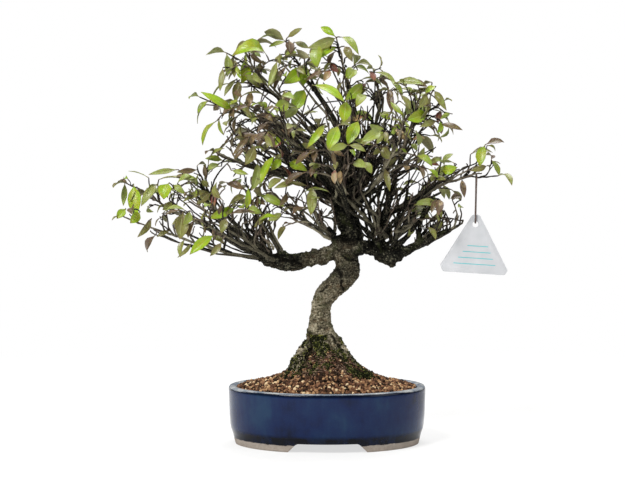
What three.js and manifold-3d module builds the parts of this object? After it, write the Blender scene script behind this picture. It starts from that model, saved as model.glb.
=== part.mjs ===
// An asiatic jasmine grown as a bonsai in a glazed oval pot, with a blank label on its right arm.
// Millimetres, +Z up. The tree is shown from -Y, with +X to the right.
import * as THREE from "three";
import { mergeVertices } from "three/addons/utils/BufferGeometryUtils.js";
import Module from "manifold-3d";

const wasm = await Module();
wasm.setup();

// Driving dimensions
const clearance = 0.3; // between pieces that touch
const pot = {
  halfLength: 98.5,
  halfDepth: 77,
  height: 55,
  lip: 9,
  wall: 7,
  floorTop: 15,
  floorRound: 7,
  stand: 2.2, // heights count from this far above the table
  footHeight: 6.4,
  footInset: 5,
  footWidth: 13,
  sides: 32,
};
const footGap = { frontHalf: 34.5, sideHalf: 15, slope: 4.5 };
const drain = { radius: 7, x: 42, sides: 16 };
const screen = { size: 24, thickness: 1.2, bar: 3, holes: 2, pocket: 25 };
const soil = {
  edgeHeight: 51,
  crownHeight: 64,
  moundHeight: 30,
  moundRadius: 33,
  moundY: -4,
  grain: 1.3,
  slip: 1.2,
  rings: 7,
  sides: 32,
};
const trunkSides = 11;
const trunkSteps = 20;
const twig = {
  tip: 0.7, // radius
  start: 1, // radius, plus a share of the length
  taper: 0.014,
  ofSpine: 0.72,
  spacing: 6,
  squareness: 1.7, // the side of a square stalk over its radius
};
const leaf = {
  thickness: 0.7,
  stalk: 1.1,
  reach: 3, // a leaf whose base is farther than this from the wood gets a stalk
  long: 22, // a leaf shorter than this is a plain lozenge
  longOutline: [[0.34, 1], [0.7, 0.8], [1, 0]],
  shortOutline: [[0.46, 1], [1, 0]],
  smallest: 17,
  spread: 12,
  goesOn: 0.5, // how far a leaf keeps its twig's heading, turns aside, and hangs
  aside: 2,
  droop: 0.35,
};
const label = {
  corners: [
    [143.3, 225.5], [111.7, 176.3], [114.2, 169.7], [175.4, 165.6], [178.5, 170.2], [150.4, 225.5],
  ],
  thickness: 1,
  holeX: 146.4,
  holeZ: 216,
  holeRadius: 3,
  holeSegments: 10,
  y: -18,
};
const wire = { radius: 0.8, hangX: 148, waistBelowArm: 12, slack: 0.2, sides: 5, arcSteps: 6 };

// Materials
const glaze = new THREE.MeshStandardMaterial({ color: 0x1c2c52, roughness: 0.2, metalness: 0 });
const grit = new THREE.MeshStandardMaterial({ color: 0x8a5a3c, roughness: 0.95, metalness: 0 });
const bark = new THREE.MeshStandardMaterial({ color: 0x5d5645, roughness: 0.9, metalness: 0 });
const foliage = new THREE.MeshStandardMaterial({ color: 0x7d9440, roughness: 0.45, metalness: 0 });
const plasticMesh = new THREE.MeshStandardMaterial({ color: 0x24262a, roughness: 0.6, metalness: 0 });
const labelPlastic = new THREE.MeshStandardMaterial({ color: 0xdedee0, roughness: 0.5, metalness: 0 });
const coatedWire = new THREE.MeshStandardMaterial({ color: 0x5a4a42, roughness: 0.45, metalness: 0 });

const vec = ([x, y, z]) => new THREE.Vector3(x, y, z);
const up = new THREE.Vector3(0, 0, 1);
const { clamp, lerp } = THREE.MathUtils;

// A seeded random number from 0 to 1 (the minimal standard generator).
function randomFrom(seed) {
  let state = seed;
  return () => {
    state = (state * 16807) % 2147483647;
    return state / 2147483647;
  };
}

// A closed geometry as a solid that can be joined and cut.
function solidOf(geometry) {
  const bare = geometry.clone();
  bare.deleteAttribute("normal");
  bare.deleteAttribute("uv");
  const merged = mergeVertices(bare, 1e-4);
  const corners = merged.index.array;
  const kept = [];
  for (let i = 0; i < corners.length; i += 3) {
    const [a, b, c] = [corners[i], corners[i + 1], corners[i + 2]];
    if (a !== b && b !== c && c !== a) kept.push(a, b, c);
  }
  return new wasm.Manifold(
    new wasm.Mesh({
      numProp: 3,
      vertProperties: merged.attributes.position.array,
      triVerts: new Uint32Array(kept),
    }),
  );
}

// A solid as a named mesh with flat faces.
function meshOf(name, solid, material) {
  const { numProp, vertProperties, triVerts } = solid.getMesh();
  const places = new Float32Array(triVerts.length * 3);
  triVerts.forEach((corner, i) => {
    places.set(vertProperties.subarray(corner * numProp, corner * numProp + 3), i * 3);
  });
  const geometry = new THREE.BufferGeometry();
  geometry.setAttribute("position", new THREE.BufferAttribute(places, 3));
  geometry.computeVertexNormals();
  const mesh = new THREE.Mesh(geometry, material);
  mesh.name = name;
  return mesh;
}

// Small scraps that a cut leaves are dropped.
const largestOf = (solid) =>
  solid.decompose().reduce((best, body) => (body.volume() > best.volume() ? body : best));

// A tapered stick along [x, y, z, radius] points: a cylinder whose rings follow the curve.
// grow widens it all over, and lobe(angle, share) makes its section wavy.
function stick(points, sides, steps, grow = 0, lobe = () => 1) {
  const curve = new THREE.CatmullRomCurve3(points.map(vec), false, "centripetal");
  const frames = curve.computeFrenetFrames(steps, false);
  const geometry = new THREE.CylinderGeometry(1, 1, 1, sides, steps);
  const position = geometry.attributes.position;
  for (let i = 0; i < position.count; i++) {
    const share = clamp(position.getY(i) + 0.5, 0, 1);
    const ring = Math.round(share * steps);
    const along = curve.getUtoTmapping(share, 0) * (points.length - 1);
    const before = Math.min(Math.floor(along), points.length - 2);
    const radius = lerp(points[before][3], points[before + 1][3], along - before);
    const [across, beside] = [position.getX(i), position.getZ(i)];
    const size = radius * lobe(Math.atan2(beside, across), share) + grow;
    const beyondEnd = ring === 0 ? -grow : ring === steps ? grow : 0;
    const place = curve
      .getPointAt(share)
      .addScaledVector(frames.tangents[ring], beyondEnd)
      .addScaledVector(frames.normals[ring], across * size)
      .addScaledVector(frames.binormals[ring], -beside * size);
    position.setXYZ(i, place.x, place.y, place.z);
  }
  return solidOf(geometry);
}

// A lathed form squeezed to the pot's oval. Each profile point is [inset from the outer wall, z],
// and an inset of Infinity is the middle.
function ovalSolid(profile, sides) {
  const points = profile.map(([inset, z]) => new THREE.Vector2(inset === Infinity ? 0 : 1, z));
  const geometry = new THREE.LatheGeometry(points, sides);
  const position = geometry.attributes.position;
  for (let i = 0; i < position.count; i++) {
    const [x, y] = onOval(position, i, profile[i % profile.length][0]);
    position.setXYZ(i, x, y, position.getY(i));
  }
  return solidOf(geometry);
}

// Where a lathed point lies on the oval that runs inset from the pot's outer wall.
function onOval(position, i, inset) {
  if (inset === Infinity) return [0, 0];
  return [position.getX(i) * (pot.halfLength - inset), -position.getZ(i) * (pot.halfDepth - inset)];
}

function boxSolid(size, centre) {
  const geometry = new THREE.BoxGeometry(...size);
  geometry.translate(...centre);
  return solidOf(geometry);
}

function barrelSolid(radius, x, bottom, top, sides) {
  const geometry = new THREE.CylinderGeometry(radius, radius, top - bottom, sides);
  geometry.rotateX(Math.PI / 2);
  geometry.translate(x, 0, (top + bottom) / 2);
  return solidOf(geometry);
}

const bothDrains = [-drain.x, drain.x];

// A gap between two feet: a bar with sloped ends, wider at the table.
function footGapSolid(half, length, turned) {
  const below = -pot.stand - 1;
  const outline = new THREE.Shape([
    new THREE.Vector2(-half - footGap.slope, below),
    new THREE.Vector2(half + footGap.slope, below),
    new THREE.Vector2(half - footGap.slope, pot.footHeight),
    new THREE.Vector2(-half + footGap.slope, pot.footHeight),
  ]);
  const geometry = new THREE.ExtrudeGeometry(outline, { depth: length, bevelEnabled: false });
  geometry.translate(0, 0, -length / 2);
  geometry.rotateX(Math.PI / 2);
  if (turned) geometry.rotateZ(Math.PI / 2);
  return solidOf(geometry);
}

// The pot: a thrown wall with a broad lip, a floor with two drain holes, and four feet.
function makePot() {
  const { height, lip, wall, floorTop, floorRound, stand, footHeight, footInset, footWidth } = pot;
  const outside = [
    [Infinity, -stand],
    [footInset + 1, -stand],
    [footInset, 1.2 - stand],
    [footInset - 0.6, footHeight],
    [3, footHeight + 2.6],
    [1.6, footHeight + 9],
    [0.5, height * 0.68],
    [0, height - 3],
  ];
  const rim = [
    [1.4, height - 0.4],
    [3.2, height],
    [lip - 2.5, height - 0.5],
    [lip - 0.5, height - 2.5],
    [lip, height - 6],
  ];
  const inside = [
    [wall, height - 14],
    [wall + 1.5, floorTop + 5],
    [wall + floorRound, floorTop],
    [Infinity, floorTop],
  ];
  const recess = [
    [Infinity, -stand - 1],
    [footInset + footWidth - 1, -stand - 1],
    [footInset + footWidth, footHeight],
    [Infinity, footHeight],
  ];
  const past = 5;
  const cuts = [
    ovalSolid(recess, pot.sides),
    footGapSolid(footGap.frontHalf, 2 * (pot.halfDepth + past), false),
    footGapSolid(footGap.sideHalf, 2 * (pot.halfLength + past), true),
    ...bothDrains.map((x) => barrelSolid(drain.radius, x, 0, floorTop + 1, drain.sides)),
  ];
  const body = ovalSolid([...outside, ...rim, ...inside], pot.sides);
  return body.subtract(wasm.Manifold.union(cuts)).simplify(0.01);
}

// A square of drainage mesh over one drain hole.
function makeScreen(x) {
  const { size, thickness, bar, holes } = screen;
  const z = pot.floorTop + clearance + thickness / 2;
  const pitch = (size - bar) / holes;
  const offsets = Array.from({ length: holes }, (_, n) => (n - (holes - 1) / 2) * pitch);
  const openings = offsets.flatMap((dy) =>
    offsets.map((dx) => boxSolid([pitch - bar, pitch - bar, thickness * 2], [x + dx, dy, z])),
  );
  return boxSolid([size, size, thickness], [x, 0, z]).subtract(wasm.Manifold.union(openings));
}

// The trunk, from its flare in the soil up through its bends, and the limbs it carries.
const trunkLine = [
  [-2, 0, 44, 18],
  [-2, 0, 58, 22],
  [-3, 0, 70, 20.5],
  [-5, 0, 84, 18],
  [-6, 0, 94, 15.6],
  [-6.5, 0, 102, 14.4],
  [-7, 0, 109, 13.6],
  [-7.2, 0, 117, 11.4],
  [-6.6, 0, 128, 10.2],
  [-4, 0, 139, 10.2],
  [1.5, -1, 148, 11],
  [10.5, -2, 156.5, 11.8],
  [18.5, -2, 166, 12.6],
  [20.5, -2, 177, 12.2],
  [16.5, -1, 189, 11],
  [26, 2, 204, 10.5],
  [18, 1, 224, 12],
  [17, 2, 242, 9],
  [20, 4, 259, 5.6],
  [23, 5, 279, 4],
  [23, 5, 298, 3],
];
const limbLines = [
  [
    [16, -2, 191, 9],
    [-4, -3, 185, 7.4],
    [-16, -5, 182, 7.4],
    [-30, -7, 178.5, 8.8],
    [-42, -8, 178, 9],
    [-56, -9, 180.5, 6.6],
    [-70, -10, 185, 4.4],
  ],
  [
    [20, 0, 193, 8.5],
    [39, -3, 193, 7.4],
    [52, -6, 190, 8],
    [62, -8, 183.5, 9],
    [73, -9, 188, 5.6],
  ],
  [
    [50, -5, 192, 5.6],
    [56, -4, 208, 4.6],
    [58, -2, 224, 4],
    [62, 0, 240, 3.5],
    [66, 2, 254, 3],
  ],
];
const rootLines = [
  [[-12, -6, 100, 8.5], [-21, -10, 91, 7.5], [-28, -13, 80, 6.6], [-32, -16, 66, 5.5], [-36, -19, 52, 3]],
  [[7, -5, 99, 7.5], [13, -8, 90, 7], [21, -12, 80, 6], [30, -16, 69, 4.6], [38, -20, 56, 2.6]],
  [[-7, 9, 95, 8.5], [-15, 19, 83, 7], [-22, 30, 68, 5], [-28, 40, 52, 2.6]],
  [[4, 9, 95, 8.5], [13, 19, 83, 7], [20, 30, 68, 5], [26, 40, 52, 2.6]],
  [[-4, -10, 93, 7.5], [-5, -20, 80, 6], [-7, -30, 67, 4.4], [-9, -38, 54, 2.6]],
];

// Root flutes round the base of the trunk, and low knots along it.
const flutes = { count: 5, depth: 0.14, turn: 0.9, ends: 0.36, fade: 0.3 };
const knots = { count: 3, height: 0.035, pitch: 40 };
function trunkLobes(angle, share) {
  const flare = clamp((flutes.ends - share) / flutes.fade, 0, 1);
  const flute = flare * flutes.depth * Math.cos(flutes.count * angle + flutes.turn);
  return 1 + flute + knots.height * Math.sin(knots.count * angle + knots.pitch * share);
}

function makeTrunk(grow) {
  const trunk = stick(trunkLine, trunkSides, trunkSteps, grow, trunkLobes);
  const limbs = limbLines.map((line) => stick(line, 8, 7, grow));
  const roots = rootLines.map((line) => stick(line, 5, 3, grow));
  return wasm.Manifold.union([trunk, ...limbs, ...roots]).simplify(0.05);
}

// The height of the soil: full at the lip, higher in the middle, and heaped against the trunk.
function soilHeight(x, y) {
  const toEdge = Math.min(1, Math.hypot(x / pot.halfLength, y / pot.halfDepth));
  const toTrunk = Math.hypot(x, y - soil.moundY) / soil.moundRadius;
  const crown = (soil.crownHeight - soil.edgeHeight) * (1 - toEdge ** 2.2);
  return soil.edgeHeight + crown + soil.moundHeight * Math.exp(-(toTrunk ** 2));
}

// The soil: a cast of the pot's inside, whose top is rings of points with loose grains' relief.
function makeSoil(cutters) {
  const { wall, lip, floorTop, floorRound, height } = pot;
  const under = [
    [Infinity, floorTop + clearance],
    [wall + floorRound + clearance, floorTop + clearance],
    [wall + 1.5 + clearance, floorTop + 5 + clearance],
    [wall + clearance, height - 14],
    [lip + clearance, height - 6],
  ];
  const top = Array.from({ length: soil.rings + 1 }, (_, ring) => 1 - ring / soil.rings);
  const rows = under.length + top.length;
  const outline = Array.from({ length: rows }, (_, row) => new THREE.Vector2(row % (rows - 1) ? 1 : 0, 0));
  const geometry = new THREE.LatheGeometry(outline, soil.sides);
  const position = geometry.attributes.position;
  for (let i = 0; i < position.count; i++) {
    const row = i % rows;
    if (row < under.length) {
      const [inset, z] = under[row];
      const [x, y] = onOval(position, i, inset);
      position.setXYZ(i, x, y, z);
      continue;
    }
    const share = top[row - under.length];
    const column = Math.floor(i / rows) % soil.sides;
    const random = randomFrom(1 + (share ? row * soil.sides + column : 0) * 7919);
    const loose = share && share < 1 ? soil.slip : 0;
    const [x, y] = onOval(position, i, lip + clearance).map(
      (middle) => middle * share + loose * (2 * random() - 1),
    );
    const relief = share < 1 ? soil.grain * (2 * random() - 1) : -0.8;
    position.setXYZ(i, x, y, soilHeight(x, y) + relief);
  }
  return solidOf(geometry).subtract(wasm.Manifold.union(cutters)).simplify(0.02);
}

// Leafy sprays. Each has a spine of [x, y, z, radius] points, tips that its twigs reach, and the
// leaves that show from the front as [base x, base z, tip x, tip z, width, arch].
const sprays = {
  left_low: {
    spine: [
      [-64, -11, 182, 2.5], [-95, -22, 187, 2], [-119, -28, 195, 1.7], [-147, -32, 204, 1.4],
      [-177, -36, 215, 1], [-199, -38, 224, 0.9],
    ],
    tips: [[-186, -52, 232], [-158, -46, 228], [-132, -50, 214], [-110, -40, 210]],
    leaves: [[-139, 202, -144, 185, 6, 0.1], [-171, 222, -184, 204, 6, 0.2]],
  },
  left_mid: {
    spine: [
      [-64, -6, 184, 2.7], [-90, -2, 194, 2.3], [-108, 2, 206, 2], [-127, 4, 217, 1.8],
      [-144, 5, 223, 1.5], [-161, 6, 233, 1.2], [-178, 8, 244, 0.9],
    ],
    tips: [[-201, 0, 257], [-167, -8, 261], [-179, 4, 263], [-151, -6, 251], [-150, 26, 246]],
    leaves: [
      [-193, 256, -190, 223, 13, 0.08], [-170, 257, -184, 234, 9, 0.2], [-201, 256, -202, 234, 6, 0.05],
    ],
  },
  left_high: {
    spine: [
      [-54, -10, 184, 2.7], [-77, -17, 202, 2.4], [-96, -18, 213, 2], [-108, -20, 228, 1.7],
      [-116, -21, 243, 1.3], [-124, -22, 256, 0.9],
    ],
    tips: [
      [-151, -24, 251], [-128, -14, 273], [-117, -28, 274], [-98, -24, 275], [-100, -34, 250],
      [-140, -16, 262],
    ],
    leaves: [
      [-155, 257, -160, 241, 14, 0.1], [-147, 270, -175, 264, 6, 0.12], [-130, 270, -148, 267, 6, 0.1],
      [-147, 256, -129, 262, 8, 0.2], [-114, 251, -141, 239, 6, 0.1],
    ],
  },
  left_inner: {
    spine: [
      [-45, -11, 183, 2.9], [-54, -17, 200, 2.4], [-64, -20, 216, 1.9], [-72, -20, 232, 1.5],
      [-80, -20, 248, 1],
    ],
    tips: [[-90, -14, 258], [-62, -26, 247], [-52, -14, 240], [-66, -8, 262], [-44, -20, 226]],
    leaves: [
      [-89, 232, -115, 222, 9, 0.12], [-80, 230, -77, 252, 6, 0.05], [-67, 244, -42, 234, 8, 0.15],
    ],
  },
  left_back: {
    spine: [
      [-54, -5, 182, 2.7], [-73, 19, 197, 2.3], [-94, 38, 211, 1.9], [-120, 52, 225, 1.4],
      [-142, 62, 238, 0.9],
    ],
    tips: [
      [-160, 58, 250], [-128, 70, 248], [-112, 56, 254], [-88, 44, 250], [-140, 44, 256],
      [-70, 48, 228],
    ],
    leaves: [],
  },
  left_front: {
    spine: [
      [-52, -13, 180, 2.5], [-68, -36, 190, 2.1], [-88, -54, 200, 1.7], [-108, -66, 212, 1.3],
      [-124, -74, 222, 0.9],
    ],
    tips: [[-140, -70, 232], [-94, -74, 226], [-80, -64, 232], [-100, -58, 240], [-66, -58, 220]],
    leaves: [
      [-140, 228, -140, 203, 14, 0.08], [-108, 207, -131, 188, 10, 0.12],
      [-101, 200, -112, 187, 6, 0.1],
    ],
  },
  middle: {
    spine: [
      [14, -6, 200, 2.2], [-4, -18, 210, 1.9], [-18, -24, 218, 1.6], [-32, -30, 228, 1.3],
      [-46, -34, 240, 0.9],
    ],
    tips: [
      [-56, -30, 228], [-62, -40, 258], [-40, -42, 256], [-24, -40, 248], [-20, -48, 232],
      [-8, -44, 240],
    ],
    leaves: [
      [-15, 254, -16, 226, 10, 0.05], [-43, 261, -57, 250, 9, 0.1], [-29, 258, -51, 252, 6, 0.1],
    ],
  },
  crown_left_low: {
    spine: [
      [18, -2, 246, 2.9], [-8, -12, 257, 2.5], [-34, -18, 264, 2.2], [-62, -22, 271, 1.9],
      [-86, -25, 277, 1.7], [-110, -28, 287, 1.2],
    ],
    tips: [
      [-92, -20, 300], [-78, -34, 296], [-86, -12, 262], [-60, -36, 288], [-64, -10, 256],
      [-36, -38, 284],
    ],
    leaves: [
      [-68, 280, -74, 249, 10, 0.08], [-68, 292, -79, 274, 10, 0.1], [-50, 284, -64, 256, 10, 0.1],
      [-40, 277, -20, 269, 10, 0.3], [-100, 277, -119, 281, 6, 0.1],
    ],
  },
  crown_left_mid: {
    spine: [
      [18, 2, 262, 2.9], [2, -4, 284, 2.5], [-20, -8, 302, 2], [-48, -12, 312, 1.7], [-70, -14, 320, 1.4],
      [-92, -15, 328, 1.1], [-125, -17, 342, 0.9],
    ],
    tips: [
      [-108, -26, 318], [-96, -6, 300], [-84, -20, 343], [-62, -28, 332], [-76, 2, 306],
      [-44, -30, 330],
    ],
    leaves: [
      [-92, 329, -123, 346, 8, 0.2], [-84, 334, -103, 324, 13, 0.1], [-48, 311, -35, 297, 8, 0.1],
      [-37, 336, -52, 328, 12, 0.1], [-83, 330, -70, 316, 9, 0.1], [-50, 318, -69, 324, 6, 0.2],
      [-46, 303, -68, 302, 7, 0.2],
    ],
  },
  crown_left_high: {
    spine: [
      [21, 9, 268, 2.8], [3, 15, 292, 2.4], [-18, 10, 319, 2], [-42, 5, 336, 1.7], [-62, 3, 352, 1.4],
      [-72, 1, 370, 1.2], [-100, -2, 386, 0.9],
    ],
    tips: [[-68, -6, 399], [-57, -10, 376], [-78, 10, 392], [-96, 8, 356], [-84, -14, 352]],
    leaves: [
      [-60, 383, -93, 382, 15, 0.36], [-99, 384, -99, 362, 9, 0.06], [-81, 380, -84, 356, 13, 0.06],
      [-103, 371, -106, 348, 6, 0.08], [-90, 361, -102, 343, 6, 0.1], [-87, 360, -91, 337, 9, 0.08],
      [-66, 352, -81, 364, 9, 0.1], [-49, 378, -58, 350, 6, 0.1],
    ],
  },
  crown_top_left: {
    spine: [
      [22, 7, 286, 2.6], [12, 11, 312, 2.2], [-4, 12, 336, 1.8], [-18, 12, 358, 1.4],
      [-30, 11, 378, 1.1], [-41, 10, 399, 0.9],
    ],
    tips: [[-47, 2, 384], [-50, 20, 372], [-14, 22, 386], [-34, 24, 394]],
    leaves: [
      [-22, 372, -43, 356, 13, 0.1], [-21, 376, -24, 354, 12, 0.08], [-22, 352, -35, 327, 14, 0.08],
      [-40, 402, -25, 411, 6, 0.05], [-42, 397, -58, 392, 6, 0.1], [-37, 374, -54, 349, 6, 0.1],
    ],
  },
  crown_top: {
    spine: [
      [25, 3, 296, 2.4], [26, 1, 322, 2], [21, -2, 342, 1.7], [18, -4, 360, 1.4], [14, -6, 380, 1.1],
      [9, -7, 401, 0.9],
    ],
    tips: [[2, -16, 368], [34, -2, 358], [26, 6, 386]],
    leaves: [
      [-9, 394, -11, 370, 14, 0.08], [7, 401, -20, 389, 10, 0.22], [11, 390, -17, 374, 9, 0.25],
      [13, 401, 31, 382, 7, 0.25], [17, 392, 25, 376, 8, 0.3], [36, 357, 18, 339, 11, 0.06],
    ],
  },
  crown_right_high: {
    spine: [
      [26, 4, 268, 2.7], [38, 2, 290, 2.3], [46, 0, 308, 2], [51, -2, 326, 1.6], [52, -4, 344, 1.2],
      [46, -5, 367, 0.9],
    ],
    tips: [[71, -2, 350], [36, -14, 344], [60, 8, 366], [32, -10, 324]],
    leaves: [[49, 367, 69, 354, 6, 0.1], [61, 352, 64, 327, 7, 0.06], [40, 316, 62, 296, 11, 0.12]],
  },
  crown_right_mid: {
    spine: [
      [65, 2, 248, 2.6], [70, -2, 272, 2.2], [76, -5, 292, 1.9], [84, -7, 312, 1.6], [98, -9, 326, 1.2],
      [116, -10, 339, 0.9],
    ],
    tips: [[78, -16, 352], [110, -22, 314], [105, -2, 304], [88, 6, 336], [120, 2, 322]],
    leaves: [
      [99, 328, 79, 319, 12, 0.1], [66, 355, 95, 352, 8, 0.08], [72, 344, 82, 329, 6, 0.1],
      [97, 345, 89, 330, 8, 0.1], [105, 348, 116, 328, 7, 0.22], [108, 315, 91, 312, 6, 0.12],
      [110, 314, 132, 309, 6, 0.1],
    ],
  },
  right_arm: {
    spine: [
      [58, -2, 224, 2.9], [77, -12, 233, 2.5], [92, -15, 241, 2.2], [106, -17, 251, 1.9],
      [120, -18, 258, 1.6], [137, -18, 262, 1.3], [154, -18, 263, 1], [169, -18, 264, 0.9],
    ],
    tips: [
      [155, -24, 294], [142, -12, 284], [115, -28, 274], [126, -8, 276], [94, -6, 268], [110, -34, 240],
    ],
    leaves: [[89, 275, 96, 292, 6, 0.06], [155, 294, 149, 273, 10, 0.08], [158, 274, 141, 269, 6, 0.1]],
  },
  right_low: {
    spine: [
      [66, -9, 184, 5], [80, -10, 190, 4.2], [91, -12, 195, 4], [102, -13, 199, 3.5],
      [112, -13, 204, 2.7], [123, -12, 211, 1.9], [134, -11, 217, 1.1],
    ],
    tips: [[124, -4, 240], [112, -24, 234], [104, -6, 226], [98, -26, 218], [88, -4, 220]],
    leaves: [],
  },
  right_back: {
    spine: [
      [56, 0, 192, 2.9], [72, 22, 204, 2.5], [88, 40, 220, 2], [102, 54, 240, 1.5], [114, 64, 260, 0.9],
    ],
    tips: [
      [130, 56, 250], [96, 68, 258], [84, 58, 248], [118, 44, 236], [104, 36, 256], [70, 50, 232],
      [126, 70, 268],
    ],
    leaves: [],
  },
  crown_back: {
    spine: [
      [24, 8, 226, 2.9], [24, 34, 248, 2.5], [22, 52, 270, 2], [18, 66, 294, 1.5], [14, 76, 320, 0.9],
    ],
    tips: [[34, 80, 300], [4, 84, 310], [-6, 66, 286], [40, 62, 280], [24, 62, 332], [30, 90, 322]],
    leaves: [],
  },
  crown_back_left: {
    spine: [
      [18, 6, 238, 2.9], [-6, 30, 258, 2.4], [-30, 48, 276, 1.9], [-54, 60, 294, 1.4],
      [-78, 68, 312, 0.9],
    ],
    tips: [
      [-96, 60, 322], [-68, 78, 324], [-46, 70, 314], [-80, 50, 296], [-60, 44, 310], [-90, 74, 300],
      [-24, 52, 312],
    ],
    leaves: [],
  },
  crown_back_right: {
    spine: [
      [24, 5, 244, 2.8], [46, 28, 268, 2.3], [62, 44, 290, 1.8], [76, 56, 312, 1.4], [88, 64, 332, 0.9],
    ],
    tips: [[104, 58, 326], [58, 60, 316], [92, 44, 308], [98, 66, 346], [46, 50, 304]],
    leaves: [],
  },
  crown_front: {
    spine: [
      [22, -4, 220, 2.9], [18, -32, 238, 2.5], [12, -50, 256, 2], [6, -64, 276, 1.6],
      [0, -74, 298, 1],
    ],
    tips: [[-14, -74, 286], [20, -80, 292], [10, -82, 312], [26, -64, 276], [-20, -60, 268]],
    leaves: [[11, 310, 0, 288, 12, 0.06], [-2, 313, -20, 289, 7, 0.2], [21, 294, 0, 287, 7, 0.15]],
  },
  crown_front_right: {
    spine: [
      [24, -4, 234, 2.8], [44, -28, 254, 2.3], [56, -44, 272, 1.9], [66, -54, 292, 1.4],
      [72, -60, 312, 0.9],
    ],
    tips: [[50, -66, 306], [40, -56, 296], [86, -44, 284], [62, -40, 312], [96, -52, 270]],
    leaves: [[30, 317, 19, 293, 12, 0.06], [54, 272, 60, 248, 6, 0.15]],
  },
  crown_front_left: {
    spine: [
      [20, -3, 257, 2.6], [-6, -32, 272, 2.2], [-27, -48, 288, 1.8], [-44, -58, 305, 1.4],
      [-58, -64, 324, 0.9],
    ],
    tips: [[-76, -58, 330], [-30, -66, 308], [-66, -50, 306], [-26, -54, 320], [-60, -72, 302]],
    leaves: [[-15, 350, 16, 333, 9, 0.12], [18, 336, 15, 314, 12, 0.06]],
  },
};

// The label that hangs from the right arm: a clipped triangle with a hole in its top.
function makeLabel() {
  const outline = new THREE.Shape(label.corners.map(([x, z]) => new THREE.Vector2(x, z)));
  const hole = new THREE.Path();
  hole.absarc(label.holeX, label.holeZ, label.holeRadius, 0, Math.PI * 2, true);
  outline.holes.push(hole);
  const geometry = new THREE.ExtrudeGeometry(outline, {
    depth: label.thickness,
    bevelEnabled: false,
    curveSegments: label.holeSegments,
  });
  geometry.rotateX(Math.PI / 2);
  geometry.translate(0, label.y + label.thickness / 2, 0);
  return solidOf(geometry);
}

// A closed line of straight lengths, whose rings stand at its own points.
class LoopCurve extends THREE.Curve {
  constructor(places) {
    super();
    this.places = places;
  }
  at(step) {
    const count = this.places.length;
    return this.places[((step % count) + count) % count];
  }
  getPoint(share) {
    return this.at(Math.round(share * this.places.length)).clone();
  }
  getPointAt(share) {
    return this.getPoint(share);
  }
  getTangentAt(share) {
    const step = Math.round(share * this.places.length);
    return this.at(step + 1).clone().sub(this.at(step - 1)).normalize();
  }
}

// The wire: one long loop over the arm and through the label's hole.
function makeWire(arm) {
  const around = clearance + wire.radius + wire.slack;
  const over = (arm.radius * twig.squareness) / Math.SQRT2 + around;
  const under = label.thickness / 2 + around;
  const foot = label.holeZ + label.holeRadius + wire.slack;
  const armHeight = arm.place.z;
  const waist = armHeight - wire.waistBelowArm;
  const waistX = THREE.MathUtils.lerp(wire.hangX, label.holeX, 0.3);
  const arc = (x, radius, height, from) =>
    Array.from({ length: wire.arcSteps + 1 }, (_, i) => {
      const angle = from + (Math.PI * i) / wire.arcSteps;
      return [x, radius * Math.cos(angle), height + radius * Math.sin(angle)];
    });
  const loop = [
    ...arc(wire.hangX, over, armHeight, 0),
    [waistX, -under, waist],
    ...arc(label.holeX, under, foot, Math.PI),
    [waistX, under, waist],
  ];
  const curve = new LoopCurve(loop.map(([x, y, z]) => new THREE.Vector3(x, y + label.y, z)));
  return solidOf(new THREE.TubeGeometry(curve, loop.length, wire.radius, wire.sides, true));
}

// Places along a spine, a few between each two of its points, with the heading and radius there.
function spineStations(spine) {
  const parts = 5;
  return spine.slice(0, -1).flatMap((from, i) => {
    const to = spine[i + 1];
    const heading = vec(to).sub(vec(from)).normalize();
    return Array.from({ length: parts }, (_, part) => ({
      place: vec(from).lerp(vec(to), part / parts),
      heading,
      radius: lerp(from[3], to[3], part / parts),
    }));
  });
}

// A twig leaves its spine at a narrow angle, clear of the other twigs, and bends towards its tip.
function twigLine(stations, tip, bend, taken) {
  const detour = 1.3;
  const cost = ({ place, heading }) => {
    const way = tip.clone().sub(place);
    const length = way.length();
    return length * (1 + detour * (1 - way.dot(heading) / Math.max(length, 1)));
  };
  const isFree = ({ place }) => taken.every((other) => other.distanceTo(place) > twig.spacing);
  const start = stations
    .slice(4)
    .filter(isFree)
    .reduce((best, station) => (cost(station) < cost(best) ? station : best));
  const length = tip.distanceTo(start.place);
  const thick = Math.min(start.radius * twig.ofSpine, twig.start + length * twig.taper);
  const corner = start.place.clone().addScaledVector(start.heading, length * 0.5).add(bend);
  const curve = new THREE.QuadraticBezierCurve3(start.place, corner, tip);
  return [0, 0.5, 1].map((t) => [...curve.getPoint(t).toArray(), lerp(thick, twig.tip, t)]);
}

// A blade: a thin box whose rows of [place, width, thickness] follow a line, its last row square
// to face and the rows before it turned as little as the line allows.
function bladeSolid(rows, face) {
  const last = rows.length - 1;
  const places = rows.map(([place]) => place);
  const axes = places.map((_, i) =>
    places[Math.min(i + 1, last)].clone().sub(places[Math.max(i - 1, 0)]).normalize(),
  );
  const sides = [];
  let side = axes[last].clone().cross(face);
  for (let i = last; i >= 0; i--) {
    side = side.clone().projectOnPlane(axes[i]).normalize();
    sides[i] = side;
  }
  const geometry = new THREE.BoxGeometry(1, 1, 1, 1, last, 1);
  const position = geometry.attributes.position;
  for (let i = 0; i < position.count; i++) {
    const row = Math.round((position.getY(i) + 0.5) * last);
    const [place, width, thickness] = rows[row];
    const corner = place
      .clone()
      .addScaledVector(sides[row], position.getX(i) * width)
      .addScaledVector(sides[row].clone().cross(axes[row]), position.getZ(i) * thickness);
    position.setXYZ(i, corner.x, corner.y, corner.z);
  }
  return solidOf(geometry);
}

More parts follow.
